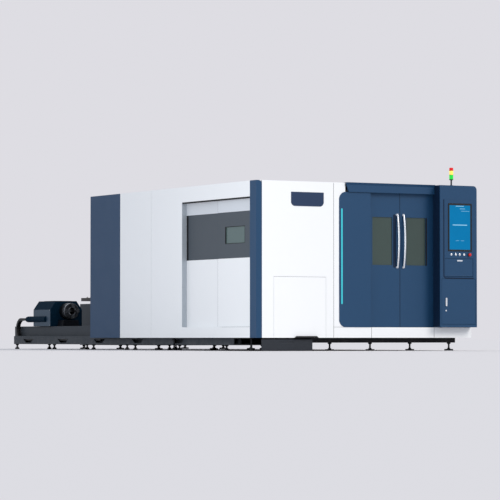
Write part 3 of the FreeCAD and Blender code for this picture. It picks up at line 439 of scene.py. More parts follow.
def floor_dust():
    """Pale workshop dust that fades out with height above the floor."""
    fx = Effect("floor_dust", [("Under", COLOUR, GREY), ("Dust", COLOUR, (0.3, 0.29, 0.28, 1)),
        ("Amount", NUMBER, 0.3)], [("Color", COLOUR), ("Mask", NUMBER)])
    where = fx.place()
    split = fx.add("ShaderNodeSeparateXYZ")
    fx.wire(where, split.inputs[0])
    near = fx.ramp(split.outputs["Z"], 0.0, 0.25, 1.0, 0.0)
    patchy = fx.ramp(fx.noise(where, 11.0, 6.0, 0.7), 0.4, 0.75)
    mask = fx.reckon("MULTIPLY", fx.reckon("MULTIPLY", near, patchy), fx.given["Amount"])
    fx.wire(fx.blended(mask, fx.given["Under"], fx.given["Dust"]), fx.result["Color"])
    fx.wire(mask, fx.result["Mask"])
    return fx.tree


POWDER_COAT = powder_coat()
WORKED_METAL = worked_metal()
MOULDED_GRAIN = moulded_grain()
FLOOR_DUST = floor_dust()


# Materials ----------------------------------------

def finish(name, effect, given, relief, depth=0.0002, dusty=0.0, **sockets):
    """A material whose colour, gloss and relief come from a shared effect."""
    made = bpy.data.materials.new(name)
    made.use_nodes = True
    tree = made.node_tree
    shader = tree.nodes["Principled BSDF"]
    group = tree.nodes.new("ShaderNodeGroup")
    group.node_tree = effect
    for label, value in given.items():
        group.inputs[label].default_value = value
    colour = group.outputs["Color"]
    if dusty:
        dust = tree.nodes.new("ShaderNodeGroup")
        dust.node_tree = FLOOR_DUST
        dust.inputs["Amount"].default_value = dusty
        tree.links.new(colour, dust.inputs["Under"])
        colour = dust.outputs["Color"]
    tree.links.new(colour, shader.inputs["Base Color"])
    tree.links.new(group.outputs["Roughness"], shader.inputs["Roughness"])
    bump = tree.nodes.new("ShaderNodeBump")
    bump.inputs["Strength"].default_value = relief
    bump.inputs["Distance"].default_value = depth
    tree.links.new(group.outputs["Height"], bump.inputs["Height"])
    tree.links.new(bump.outputs["Normal"], shader.inputs["Normal"])
    for label, value in sockets.items():
        shader.inputs[label.replace("_", " ")].default_value = value
    return made


def tone(red, green, blue):
    return (red, green, blue, 1.0)


def paint(name, colour, gloss=0.42, drift=0.05, sheen=0.3, dusty=0.0):
    return finish(name, POWDER_COAT, {"Tone": colour, "Gloss": gloss, "Drift": drift}, relief=0.12,
        dusty=dusty, Specular_IOR_Level=sheen)


def metal(name, colour, gloss, grain, streak=0.25, relief=0.1, dusty=0.0):
    return finish(name, WORKED_METAL, {"Tone": colour, "Gloss": gloss, "Grain": grain, "Streak": streak},
        relief=relief, dusty=dusty, Metallic=1.0)


def plastic(name, colour, gloss=0.45, grain=900.0, sheen=0.4, **sockets):
    return finish(name, MOULDED_GRAIN, {"Tone": colour, "Gloss": gloss, "Grain": grain}, relief=0.1,
        Specular_IOR_Level=sheen, **sockets)


NAVY = paint("navy_powder_coat", tone(0.0095, 0.052, 0.125))
# A lighter, greyer navy for the left end panel: painted light on that face.
NAVY_END_LIT = paint("navy_end_painted_light", tone(0.019, 0.056, 0.122), gloss=0.5)
PLATE_NAVY = paint("name_plate_coat", tone(0.014, 0.034, 0.088), gloss=0.38)
WHITE = paint("white_powder_coat", tone(0.88, 0.89, 0.90), gloss=0.4, drift=0.015, sheen=0.35)
# A greyer white: painted shade from the header on the side leaves' heads.
HEAD_SHADE_WHITE = paint("leaf_head_painted_shade", tone(0.66, 0.69, 0.73), gloss=0.4, drift=0.015)
# Grey painted shade for the recess's rear jamb.
JAMB_SHADE_GREY = paint("jamb_painted_shade_coat", tone(0.44, 0.48, 0.52), gloss=0.45, drift=0.03)
DEEP_NAVY = paint("headstock_coat", tone(0.0012, 0.014, 0.030), gloss=0.7, sheen=0.05)
SLATE = paint("slate_cover_coat", tone(0.038, 0.066, 0.100), gloss=0.5, sheen=0.25)
DRAWER_GREY = paint("drawer_coat", tone(0.020, 0.024, 0.032), gloss=0.5, sheen=0.25)
FRAME_GREY = paint("frame_coat", tone(0.032, 0.039, 0.049), gloss=0.55, drift=0.12, sheen=0.25,
    dusty=0.25)
FRAME_BLACK = paint("black_frame_coat", tone(0.004, 0.005, 0.008), gloss=0.5, drift=0.1, sheen=0.15,
    dusty=0.15)
INNER_GREY = paint("inner_frame_coat", tone(0.12, 0.125, 0.13), gloss=0.5, drift=0.1)
BAND_GREY = plastic("tinted_band_sheet", tone(0.062, 0.076, 0.092), gloss=0.45, sheen=0.3)
SILVER = metal("satin_silver", tone(0.78, 0.79, 0.82), 0.32, (300, 300, 6), streak=0.12, relief=0.05)
STEEL = metal("ground_steel", tone(0.42, 0.43, 0.45), 0.34, (160, 4, 160))
BLACK_STEEL = metal("blackened_steel", tone(0.055, 0.058, 0.064), 0.38, (40, 220, 40), streak=0.4)
DARK_STEEL = metal("dark_jaw_steel", tone(0.12, 0.125, 0.135), 0.3, (40, 200, 40))
GALVANISED = metal("slat_steel", tone(0.30, 0.29, 0.28), 0.5, (6, 90, 90), streak=0.4, relief=0.2)
PALLET_BROWN = paint("pallet_primer", tone(0.070, 0.062, 0.060), gloss=0.6, drift=0.2, sheen=0.25)
RUBBER = plastic("black_rubber", tone(0.008, 0.008, 0.009), gloss=0.6, grain=500.0, sheen=0.2)
CHAIN_BLACK = plastic("chain_link_plastic", tone(0.006, 0.006, 0.007), gloss=0.42, sheen=0.3)
# Dark navy painted shade: in the groove round the control plate, the left handle's shadow and the
# console's left side.
SHADE_NAVY = paint("painted_shade_navy_coat", tone(0.003, 0.014, 0.040), gloss=0.5, sheen=0.2)
SCREEN_FRAME = plastic("screen_surround", tone(0.012, 0.012, 0.014), gloss=0.22, grain=300.0)
CAP_WHITE = plastic("button_cap", tone(0.74, 0.75, 0.77), gloss=0.3)
KEY_GREY = plastic("key_grey", tone(0.10, 0.105, 0.11), gloss=0.5)
LABEL_WHITE = plastic("bare_label", tone(0.62, 0.65, 0.70), gloss=0.4, grain=200.0)
STOP_RED = plastic("stop_red", tone(0.62, 0.012, 0.010), gloss=0.25)


def glowing(name, colour, strength, gloss=0.25, sheen=0.4):
    """Translucent plastic that gives off light of its own, with a soft unevenness."""
    made = plastic(name, colour, gloss=gloss, grain=260.0, sheen=sheen)
    shader = made.node_tree.nodes["Principled BSDF"]
    group = [n for n in made.node_tree.nodes if n.type == "GROUP"][0]
    group.inputs["Bloom"].default_value = 0.15
    made.node_tree.links.new(group.outputs["Color"], shader.inputs["Emission Color"])
    shader.inputs["Emission Strength"].default_value = strength
    return made


STRIP_LIGHT = glowing("strip_light_lens", tone(0.030, 0.36, 0.42), 0.62)
LENS_GREEN = glowing("green_lens", tone(0.010, 0.62, 0.045), 0.45)
LENS_YELLOW = glowing("yellow_lens", tone(0.95, 0.72, 0.12), 0.45)
LENS_RED = glowing("red_lens", tone(0.60, 0.008, 0.008), 0.45)
SCREEN_BLUE = glowing("screen_field", tone(0.0012, 0.100, 0.225), 0.85, gloss=0.3, sheen=0.05)
SCREEN_PALE = glowing("screen_marks", tone(0.20, 0.42, 0.56), 0.5, gloss=0.3, sheen=0.05)


def tinted(name, colour, through, gloss=0.12):
    """Tinted laser-safe acrylic, cloudy enough to hide most of what is behind it."""
    made = plastic(name, colour, gloss=gloss, grain=40.0, sheen=0.35)
    shader = made.node_tree.nodes["Principled BSDF"]
    shader.inputs["Transmission Weight"].default_value = through
    shader.inputs["IOR"].default_value = 1.49
    return made


DOOR_GLASS = tinted("olive_acrylic", tone(0.056, 0.082, 0.072), 0.15)
SIDE_GLASS = tinted("green_grey_acrylic", tone(0.105, 0.155, 0.150), 0.12)


# Sheet metal that keeps the form of its node ----------------------------------------

SIDE_JOINTS = (FRONT_FACE + 2.930,)


def grooved_sides():
    """Left side sheets, with a dark joint sunk between each pair."""
    sheet = merged_copy("side_panels")
    low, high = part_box("side_panels")
    for at in SIDE_JOINTS:
        cut(sheet, block("groove", (low.x - BEYOND, at - SEAM / 2, low.z - BEYOND),
            (low.x + SEAM, at + SEAM / 2, high.z + BEYOND)))
        line = block("side_joint", (low.x + SEAM / 2, at - SEAM, low.z + 0.003),
            (low.x + SEAM + 0.002, at + SEAM, high.z - 0.003))
        ride_on("side_panels", RUBBER, line, 0.0002, 1)
    stand_for("side_panels", WHITE, sheet, 0.0005)


def pressed_sheets():
    """Panels and frames whose folds and edges only need breaking."""
    finishes = [
        (NAVY, 0.0025, ["corner_trim"]),
        (NAVY_END_LIT, 0.002, ["side_panel_end"]),
        (WHITE, 0.0012, ["side_frame_panels", "front_left_panel", "front_surround",
                         "lower_band", "side_fixed_leaf", "side_door"]),
        (NAVY, 0.0015, ["front_header", "front_door_left", "front_door_right", "cabinet_door"]),
        (INNER_GREY, 0.003, ["enclosure_frame", "gantry_beam", "front_chuck_housing"]),
        (FRAME_GREY, 0.003, ["tube_bed", "exchange_frame", "lift_frame"]),
        (FRAME_BLACK, 0.003, ["main_bed"]),
        (STEEL, 0.002, ["linear_rails", "door_track"]),
    ]
    for material, width, names in finishes:
        for node in names:
            stand_for(node, material, merged_copy(node), width)


# Left face ----------------------------------------

BAND_BELOW = 0.192     # dark band below and above the observation window
BAND_ABOVE = 0.193
LEAF_GAP = 0.003       # between the sliding leaf and the fixed one


def side_opening():
    """Dark tinted bands on both leaves, the observation window and the track seal, with painted shade on
    the leaf heads and at the jamb.
    """
    door_low, door_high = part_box("side_door")
    glass_low, glass_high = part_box("side_door_window")
    band_low = glass_low.z - BAND_BELOW
    band_high = glass_high.z + BAND_ABOVE
    sheet = block("side_door_band", (door_low.x - SKIN, door_low.y, band_low),
        (door_low.x, door_high.y - 0.002, band_high))
    opening = block("opening", (door_low.x - BEYOND, glass_low.y, glass_low.z),
        (door_low.x + BEYOND, glass_high.y, glass_high.z))
    ride_on("side_door", BAND_GREY, cut(sheet, opening), 0.0004)
    leaf_face = door_high.x + LEAF_GAP
    leaf_low, leaf_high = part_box("side_fixed_leaf")
    sheet = block("side_leaf_band", (leaf_face - SKIN, leaf_low.y, band_low),
        (leaf_face, RECESS_REAR, band_high))
    ride_on("side_fixed_leaf", BAND_GREY, sheet, 0.0004)
    pane = block("side_window_pane", glass_low, glass_high)
    inset(pane, X, -1, 0.004, -0.001)
    stand_for("side_door_window", SIDE_GLASS, pane, 0.0008)
    rim = window_rim("side_window_rim", glass_low, glass_high, X, door_low.x, -1)
    ride_on("side_door", RUBBER, rim)
    bar = block("side_track_seal", (leaf_low.x + 0.004, door_low.y, door_high.z - 0.015),
        (door_low.x - 0.004, RECESS_REAR, door_high.z + LEAF_GAP))
    ride_on("side_frame_panels", RUBBER, bar, 0.002)
    # The heads of both leaves, above the bands, carry painted shade from the header.
    for node, face, start, end in (("side_door", door_low.x, door_low.y, door_high.y - SEAM),
            ("side_fixed_leaf", leaf_face, door_high.y, RECESS_REAR)):
        strip = block(node + "_head", (face - SKIN, start, band_high), (face, end, door_high.z - 0.015))
        ride_on(node, HEAD_SHADE_WHITE, strip, 0.0004)
    # The rear jamb of the recess is lined with grey painted shade.
    lining = block("side_jamb_painted_shade", (leaf_low.x + 0.002, RECESS_REAR - SKIN, door_low.z),
        (leaf_face - SKIN, RECESS_REAR, door_high.z))
    ride_on("side_frame_panels", JAMB_SHADE_GREY, lining, 0.0004)
    # A black strip at the band's jamb end is painted shade, where the jamb darkens the band.
    stop = block("side_band_jamb_shade", (leaf_face - 0.0025, RECESS_REAR - 0.05, band_low),
        (leaf_face - SKIN, RECESS_REAR, band_high))
    ride_on("side_fixed_leaf", RUBBER, stop, 0.002)


def window_rim(name, low, high, axis, face, sign):
    """A thin rubber rim round a pane: it lines the opening and stands a little proud."""
    edge = 0.003
    grown_low = [v - edge for v in low]
    grown_high = [v + edge for v in high]
    pane_face = low[axis] if sign < 0 else high[axis]
    grown_low[axis], grown_high[axis] = sorted((pane_face + sign * HAIR, face + sign * 0.0025))
    rim = block(name, grown_low, grown_high)
    hole_low = [v + edge for v in low]
    hole_high = [v - edge for v in high]
    hole_low[axis], hole_high[axis] = face - BEYOND, face + BEYOND
    return soften(cut(rim, block("hole", hole_low, hole_high)), 0.0008)


# Front face ----------------------------------------

def name_plate():
    """Bare plate with two round corners and a fine raised border."""
    low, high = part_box("name_plate")
    plate = block("name_plate_shield", low, high)
    radius = 0.058
    round_corners(plate, Y, radius, lambda spot: spot.z < (low.z + high.z) / 2, 12)
    inset(plate, Y, -1, 0.007, 0.0)
    inset(plate, Y, -1, 0.002, -0.0015)
    stand_for("name_plate", PLATE_NAVY, plate, 0.0008)


LIP_LONG = 0.360
LIP_SHIFT = 0.0905
LIP_DROP = 0.004
OUTLET_LIP = (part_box("outlet_door")[0].z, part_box("outlet_door")[0].z + 0.026)


def outlet_hatch():
    """White hatch leaf with a black folded grip along its bottom."""
    low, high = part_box("outlet_door")
    lip_low, lip_high = OUTLET_LIP
    leaf = block("outlet_door_leaf", (low.x, FRONT_FACE, lip_low + LIP_DROP), (high.x, high.y, high.z))
    stand_for("outlet_door", WHITE, leaf, 0.0012)
    middle = (low.x + high.x) / 2
    left = middle + LIP_SHIFT - LIP_LONG / 2
    grip = block("outlet_door_grip", (left, low.y, lip_low),
        (left + LIP_LONG, FRONT_FACE + HAIR, lip_high))
    taper(grip, Z, (0.82, 1, 1))
    inset(grip, Y, -1, 0.005, -0.006)
    stand_for("outlet_door", RUBBER, grip, 0.0015)


STRIP_INSET = 0.029
STRIP_LOW = 0.301
STRIP_LONG = 1.249
STRIP_WIDE = 0.022
STRIP_PROUD = 0.002


def accent_panel():
    """Raised panel with round left corners, and the strip light let into it."""
    low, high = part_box("blue_panel")
    panel = block("accent_panel", (low.x, low.y + STRIP_PROUD, low.z), high)
    round_corners(panel, Y, 0.100, lambda spot: spot.x < (low.x + high.x) / 2, 16)
    stand_for("blue_panel", NAVY, panel, 0.0022, 3)
    left = low.x + STRIP_INSET
    foot = low.z + STRIP_LOW
    strip = block("strip_light", (left, low.y, foot),
        (left + STRIP_WIDE, low.y + STRIP_PROUD + HAIR, foot + STRIP_LONG))
    round_corners(strip, Y, STRIP_WIDE * 0.45, segments=5)
    stand_for("blue_panel", STRIP_LIGHT, strip, 0.0006)


def door_pane(side):
    """Tinted pane, with the handle's painted shadow on the left door and a seal on the right door."""
    low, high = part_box("door_window_" + side)
    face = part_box("front_door_" + side)[0].y
    pane = block(f"door_pane_{side}", low, high)
    inset(pane, Y, -1, 0.005, -0.001)
    stand_for("door_window_" + side, DOOR_GLASS, pane, 0.0008)
    if side == "left":
        handle_low, handle_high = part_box("door_handle_left")
        # The left handle's cast shadow on the door is painted as a dark strip.
        strip = block("handle_painted_shadow", (handle_low.x - 0.046, face - SKIN, handle_low.z + 0.01),
            (handle_low.x - 0.002, face, handle_high.z - 0.01))
        round_corners(strip, Y, 0.020, segments=6)
        ride_on("front_door_left", SHADE_NAVY, strip, 0.0005)
    if side == "right":
        strip = block("door_pane_seal", (high.x, face - 0.003, low.z), (high.x + 0.020, face, high.z))
        inset(strip, Y, -1, 0.004, 0.001)
        ride_on("front_door_right", RUBBER, strip, 0.001)


def bow_handle(side):
    """Round bar spun along an arc, on two round feet."""
    node = "door_handle_" + side
    low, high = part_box(node)
    foot = (high.x - low.x) / 2
    across = (low.x + high.x) / 2
    bar = foot * 0.76
    half = (high.z - low.z) / 2 - foot
    rise = high.y - low.y - bar * 2
    radius = (half * half + rise * rise) / (2 * rise)
    middle = (high.z + low.z) / 2
    front = low.y + bar
    sweep = math.asin(half / radius)
    centre = Vector((across, front + radius, middle))
    deselect_all()
    start = centre + Vector((0, -radius * math.cos(sweep), -radius * math.sin(sweep)))
    bpy.ops.mesh.primitive_circle_add(vertices=24, radius=bar, fill_type="NGON", location=start,
        rotation=(sweep, 0, 0))
    piece = settle(bpy.context.object)
    edit_all(piece)
    bpy.ops.mesh.spin(steps=40, angle=2 * sweep, center=centre, axis=(1, 0, 0))
    close_up()
    neck = bar * 0.98
    profile = [(foot, 0.0), (foot, -0.004), (foot * 0.9, -0.0055), (neck, -0.0075), (neck, -0.016)]
    feet = [turned("foot", (across, high.y, middle + half * sign), Y, profile, 32) for sign in (-1, 1)]
    stand_for(node, SILVER, join(f"bow_handle_{side}", [piece] + feet), 0.0004)


FRONT_JOINT = LEFT_FACE + 1.158
BAND_JOINTS = (LEFT_FACE + 1.737, LEFT_FACE + 2.715)


def joint_line(name, node, low, high):
    """A dark joint between two sheets, flush but for a hair."""
    line = block(name, low, high)
    ride_on(node, RUBBER, line, 0.0001, 1)


def joints():
    """The dark joints that part the front sheets, the door leaves and the side leaves."""
    low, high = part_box("front_left_panel")
    back = low.y + 0.001
    half = SEAM / 2
    joint_line("front_sheet_joint", "front_left_panel", (FRONT_JOINT - half, low.y - HAIR, low.z + 0.004),
        (FRONT_JOINT + half, back, high.z - 0.012))
    band_low, band_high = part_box("lower_band")
    for number, at in enumerate(BAND_JOINTS, start=1):
        joint_line(f"lower_band_joint_{number}", "lower_band",
            (at - half, band_low.y - HAIR, band_low.z + 0.002),
            (at + half, band_low.y + 0.001, band_high.z - 0.002))
    leaf_low, leaf_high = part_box("front_door_left")
    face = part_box("front_door_right")[0].y
    for name, start in (("door_meeting_seal", leaf_high.x - SEAM), ("door_edge_seal", leaf_low.x)):
        joint_line(name, "front_door_left", (start, face - HAIR, leaf_low.z + 0.003),
            (start + SEAM, face + 0.010, leaf_high.z - 0.003))
    door_low, door_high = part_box("side_door")
    joint_line("side_leaf_seal", "side_door", (door_low.x - HAIR, door_high.y - half, door_low.z + 0.002),
        (door_low.x + 0.006, door_high.y, door_high.z - 0.016))


HEADER_FLARE = 0.032
HEADER_SLANT = 0.040
HEADER_LIP = 0.022


def header_end(low, high):
    """Folded plate that closes the header's slanted left end behind its flared lip."""
    top = high.z - 0.003
    flare = high.z - HEADER_FLARE
    reach = HEADER_SLANT / (high.z - low.z)
    plate = block("header_end_plate", (low.x + 0.004, low.y + HEADER_LIP + 0.002, low.z),
        (low.x + 0.010, FRONT_FACE + 0.004, top))
    edit_all(plate)
    bpy.ops.mesh.bisect(plane_co=(0, 0, flare), plane_no=(0, 0, 1))
    done()
    for level in (low.z, flare):
        pick(plate, "EDGE", lambda e: all(abs(v.co.z - level) < NEAR for v in e.verts))
        bpy.ops.transform.translate(value=((top - level) * reach, 0, 0))
        done()
    lip = low.y + HEADER_LIP + 0.004
    pick(plate, "EDGE", lambda e: lies_along(e, X) and all(v.co.z > top - NEAR and v.co.y < lip
        for v in e.verts))
    bpy.ops.transform.translate(value=(0, -HEADER_LIP, 0))
    done()
    ride_on("front_header", NAVY, plate, 0.0008)


def front_face():
    joints()
    name_plate()
    outlet_hatch()
    accent_panel()
    for side in ("left", "right"):
        door_pane(side)
        bow_handle(side)
    header_low, header_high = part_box("front_header")
    header_end(header_low, header_high)
    door_low, door_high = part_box("front_door_left")
    brush = block("door_top_brush", (door_low.x + 0.03, door_high.y - 0.045, header_low.z + 0.004),
        (header_high.x - 0.004, door_high.y - 0.032, header_low.z + 0.030))
    ride_on("front_header", RUBBER, brush, 0.002)


# Console ----------------------------------------

def console():
    """Case, raised control plate with painted shade in the groove beside it and on the case's left side,
    and what sits in the plate.
    """
    low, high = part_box("console_shell")
    stand_for("console_shell", NAVY, merged_copy("console_shell"), 0.003, 3)
    screen_low, screen_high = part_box("control_screen")
    flap_low, flap_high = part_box("keyboard_flap")
    left = screen_low.x - 0.060
    right = high.x - 0.050
    bottom = flap_low.z - 0.015
    top = screen_high.z + 0.051
    face = low.y
    proud = 0.0035
    gap = 0.014
    # A dark sheet behind the plate shows as painted shade in the groove round it.
    gap_shade = control_sheet("control_plate_gap_shade", (left - gap, face - 0.001, bottom - gap),
        (right, face, top), 0.040)
    ride_on("console_shell", SHADE_NAVY, gap_shade, 0.0003)
    plate = control_sheet("control_plate", (left, face - proud, bottom), (right, face, top), 0.030)
    ride_on("console_shell", NAVY, plate, 0.0012)
    # The case's left side is painted dark navy for the shade between the door and the console.
    side = block("console_side_painted_shade", (low.x - 0.001, low.y + 0.012, low.z + 0.006),
        (low.x, high.y - 0.010, high.z - 0.006))
    ride_on("console_shell", SHADE_NAVY, side, 0.0003)
    console_screen(screen_low, screen_high)
    keyboard(flap_low, flap_high, face)
    buttons(face - proud)


BUTTON_HOLE = 0.0125   # radii of the holes in the control plate
STOP_HOLE = 0.0135


def control_sheet(name, low, high, radius):
    """A sheet with a round lower left corner, cut out for the screen, flap and buttons."""
    sheet = block(name, low, high)
    round_corners(sheet, Y, radius, lambda s: s.x < low[X] + 0.01 and s.z < low[Z] + 0.01, 10)
    play = 0.003
    for node in ("control_screen", "keyboard_flap"):
        near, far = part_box(node)
        cut(sheet, block("hole", (near.x - play, near.y - 0.1, near.z - play),
            (far.x + play, far.y, far.z + play)))
    for node in BUTTONS + ["emergency_stop"]:
        middle = measures(node)[2]
        radius = STOP_HOLE if node == "emergency_stop" else BUTTON_HOLE
        outline = [(radius, 0), (radius, 0.1)]
        cut(sheet, turned("hole", (middle.x, low[Y] - 0.05, middle.z), Y, outline, 32))
    return sheet


def console_screen(low, high):
    """Glossy surround with a sunk display that shows plain fields of colour."""
    surround = block("screen_surround", low, high)
    border = 0.022
    inset(surround, Y, -1, 0.0035, 0.0)
    inset(surround, Y, -1, border - 0.0035, 0.0)
    inset(surround, Y, -1, 0.001, -0.0025)
    stand_for("control_screen", SCREEN_FRAME, surround, 0.001)
    face = low.y + 0.0015
    wide = high.x - low.x - 2 * border
    tall = high.z - low.z - 2 * border
    left = low.x + border
    foot = low.z + border
    field = block("screen_field", (left + 0.0015, face, foot + 0.0015),
        (left + wide - 0.0015, face + 0.003, foot + tall - 0.0015))
    inset(field, Y, -1, 0.002, 0.0003)
    ride_on("control_screen", SCREEN_BLUE, field)
    marks = [(0.30, 0.70, 0.972, 0.985), (0.50, 0.74, 0.915, 0.925), (0.15, 0.85, 0.545, 0.565),
        (0.55, 0.95, 0.865, 0.872), (0.30, 0.46, 0.20, 0.206), (0.54, 0.70, 0.20, 0.206)]
    bars = []
    for start, end, lower, upper in marks:
        bar = block("bar", (left + wide * start, face - 0.0009, foot + tall * lower),
            (left + wide * end, face - 0.0002, foot + tall * upper))
        round_corners(bar, Y, tall * (upper - lower) * 0.45, segments=3)
        bars.append(bar)
    ride_on("control_screen", SCREEN_PALE, join("screen_marks", bars))


def keyboard(low, high, face):
    """Folding flap with a grip fold, a bare label, and keys on its inner side."""
    thick = 0.014
    half = thick / 2
    flap = block("flap_sheet", (low.x, face, low.z + half), (high.x, face + thick, high.z))
    inset(flap, Y, -1, 0.010, 0.0)
    inset(flap, Y, -1, 0.0015, -0.0006)
    roll = turned("roll", (low.x, face + half, low.z + half), X, [(half, 0), (half, high.x - low.x)], 24)
    stand_for("keyboard_flap", NAVY, join("keyboard_flap_sheet", [flap, roll]), 0.0008)
    middle = low.x + (high.x - low.x) * 0.53
    label = block("flap_label", (middle - 0.042, face - 0.0006, high.z - 0.036),
        (middle + 0.042, face, high.z - 0.018))
    round_corners(label, Y, 0.004, segments=4)
    stand_for("keyboard_flap", LABEL_WHITE, label)
    tray = block("key_tray", (low.x + 0.015, face + thick, low.z + 0.045),
        (high.x - 0.015, face + thick + 0.008, high.z - 0.025))
    stand_for("keyboard_flap", SCREEN_FRAME, tray, 0.002)
    key = block("key", (0, 0, 0), (0.020, 0.007, 0.020))
    taper(key, Y, (0.78, 1, 0.78))
    soften(key, 0.001)
    pitch = 0.0235
    columns = int((high.x - low.x - 0.060) / pitch)
    rows = int((high.z - low.z - 0.085) / pitch)
    spots = [(low.x + 0.030 + c * pitch, face + thick + 0.008, low.z + 0.056 + r * pitch)
        for r in range(rows) for c in range(columns)]
    stand_for("keyboard_flap", KEY_GREY, spread("keys", key, spots))


def buttons(face):
    """Dished caps in silver rings, and the mushroom stop button on its dark collar."""
    rings = []
    for node in BUTTONS:
        low, high, middle, radius = measures(node)
        long = high.y - low.y
        profile = [(radius * 0.55, 0.0018), (radius * 0.80, 0.0004), (radius * 0.93, 0.0),
            (radius, 0.0012), (radius, long)]
        cap = turned(node + "_cap", (middle.x, low.y, middle.z), Y, profile, 32)
        stand_for(node, CAP_WHITE, cap, 0.0003)
        ring = [(radius + 0.0008, 0.0), (radius + 0.0008, -0.003), (radius + 0.002, -0.004),
            (radius + 0.0045, -0.003), (radius + 0.0055, 0.0), (radius + 0.0008, 0.0)]
        rings.append(turned("ring", (middle.x, face, middle.z), Y, ring, 32, hollow=True))
    ride_on("console_shell", SILVER, join("button_rings", rings))
    low, high, middle, head = measures("emergency_stop")
    long = high.y - low.y
    profile = [(head * 0.35, 0.0), (head * 0.70, 0.0012), (head * 0.90, 0.0040), (head, 0.0085),
        (head, 0.0130), (head * 0.86, 0.0165), (head * 0.60, 0.0180), (head * 0.57, 0.0180),
        (head * 0.57, long)]
    mushroom = turned("stop_mushroom", (middle.x, low.y, middle.z), Y, profile, 48)
    stand_for("emergency_stop", STOP_RED, mushroom, 0.0004)
    collar = [(head * 0.63, 0.0), (head * 0.63, -0.005), (head * 0.85, -0.0065), (head * 1.08, -0.002),
        (head * 1.10, 0.0), (head * 0.63, 0.0)]
    collar = turned("stop_collar", (middle.x, face, middle.z), Y, collar, 48, hollow=True)
    ride_on("console_shell", SCREEN_FRAME, collar)


def cabinet_fittings():
    """Turning latch plate with its round key insert, and the lock below it."""
    low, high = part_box("cabinet_latch")
    plate = block("latch_plate", low, high)
    round_corners(plate, Y, (high.x - low.x) * 0.4, segments=6)
    inset(plate, Y, -1, 0.003, 0.0)
    inset(plate, Y, -1, 0.001, -0.0015)
    soften(plate, 0.0008)
    middle = (low + high) / 2
    key = turned("key", (middle.x, low.y - 0.001, high.z - 0.023), Y,
        [(0.006, 0.0012), (0.0075, 0.0), (0.0085, 0.001), (0.0085, 0.004)], 24)
    stand_for("cabinet_latch", SILVER, join("latch_plate", [plate, key]))
    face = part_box("cabinet_door")[0].y
    lock = turned("cabinet_lock", (middle.x, face, low.z - 0.060), Y,
        [(0.0045, -0.0015), (0.0050, -0.0030), (0.0090, -0.0030), (0.0105, -0.0015), (0.0105, 0.002)], 24)
    ride_on("cabinet_door", SILVER, lock, 0.0003)


# Signal tower ----------------------------------------

def signal_tower():
    """Foot, thin pole and three ribbed lenses with dark collars between them."""
    low, high, middle, base = measures("signal_pole")
    radius = measures("signal_lamp_green")[3]
    tall = high.z - low.z
    slim = 0.011
    profile = [(base, 0), (base, 0.006), (base * 0.9, 0.012), (slim * 1.6, 0.013), (slim * 1.3, 0.022),
        (slim, 0.024), (slim, tall - 0.012), (radius * 0.8, tall - 0.008), (radius, tall - 0.004),
        (radius, tall)]
    stem = turned("signal_stem", (middle.x, middle.y, low.z), Z, profile, 40)
    stand_for("signal_pole", BLACK_STEEL, stem, 0.0006)
    for colour, material in (("green", LENS_GREEN), ("yellow", LENS_YELLOW), ("red", LENS_RED)):
        node = "signal_lamp_" + colour
        low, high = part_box(node)
        tall = high.z - low.z
        ribs = 7
        body = [(radius * 0.97, 0.0)]
        for i in range(ribs):
            at = 0.003 + (tall - 0.008) * i / ribs
            step = (tall - 0.008) / ribs
            body += [(radius * 0.94, at), (radius * 0.985, at + step * 0.5)]
        body += [(radius * 0.94, tall - 0.005)]
        if colour == "red":
            body += [(radius * 0.80, tall - 0.0025), (radius * 0.30, tall - 0.0005)]
        else:
            body += [(radius * 0.90, tall)]
        lens = turned(node + "_lens", (middle.x, middle.y, low.z), Z, body, 40)
        stand_for(node, material, lens, 0.0002, angle=50)
        collar = ring_profile(radius * 0.90, radius, 0.0, 0.003)
        collar = turned(node + "_collar", (middle.x, middle.y, low.z), Z, collar, 40, hollow=True)
        ride_on(node, RUBBER, collar)


# Right side, rear and roof ----------------------------------------

LOUVRE_RISE = 0.010    # a hood's height over its sheet
LOUVRE_SLANT = 0.009   # how far its lip leans back
LOUVRE_SHARE = 0.62    # a hood's part of the pitch


def louvre_field(name, low, high, axis, sign, count):
    """Pressed ventilation louvres: slanted hoods in even rows."""
    tall = (high[Z] - low[Z]) / count
    flat = Y if axis == X else X
    near, far = [0.0] * 3, [0.0] * 3
    near[flat], far[flat] = low[flat], high[flat]
    near[axis], far[axis] = sorted((low[axis], low[axis] + sign * LOUVRE_RISE))
    far[Z] = tall * LOUVRE_SHARE
    hood = block("hood", near, far)
    outer = far[axis] if sign > 0 else near[axis]

    def is_lip(edge):
        ends = [vertex.co for vertex in edge.verts]
        return lies_along(edge, flat) and all(abs(v[axis] - outer) < NEAR and v.z > tall / 2
            for v in ends)

    pick(hood, "EDGE", is_lip)
    slide = [0, 0, 0]
    slide[axis] = -sign * LOUVRE_SLANT
    bpy.ops.transform.translate(value=slide)
    done()
    soften(hood, 0.0015)
    return spread(name, hood, [(0, 0, low[Z] + i * tall) for i in range(count)])


def right_side():
    """White side with recessed seams and two fields of louvres."""
    low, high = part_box("right_side_panel")
    wall = block("right_wall", low, high)
    groove = 0.003
    count = 5
    for i in range(1, count):
        at = low.y + (high.y - low.y) * i / count
        cut(wall, block("groove", (high.x - groove, at - groove / 2, low.z - BEYOND),
            (high.x + BEYOND, at + groove / 2, high.z + BEYOND)))
    stand_for("right_side_panel", WHITE, wall, 0.001)
    for number, share in enumerate((0.30, 0.70), start=1):
        middle = low.y + (high.y - low.y) * share
        field = louvre_field(f"right_louvres_{number}", (high.x - 0.012, middle - 0.22, low.z + 0.18),
            (high.x, middle + 0.22, low.z + 0.58), X, 1, 10)
        ride_on("right_side_panel", WHITE, field)


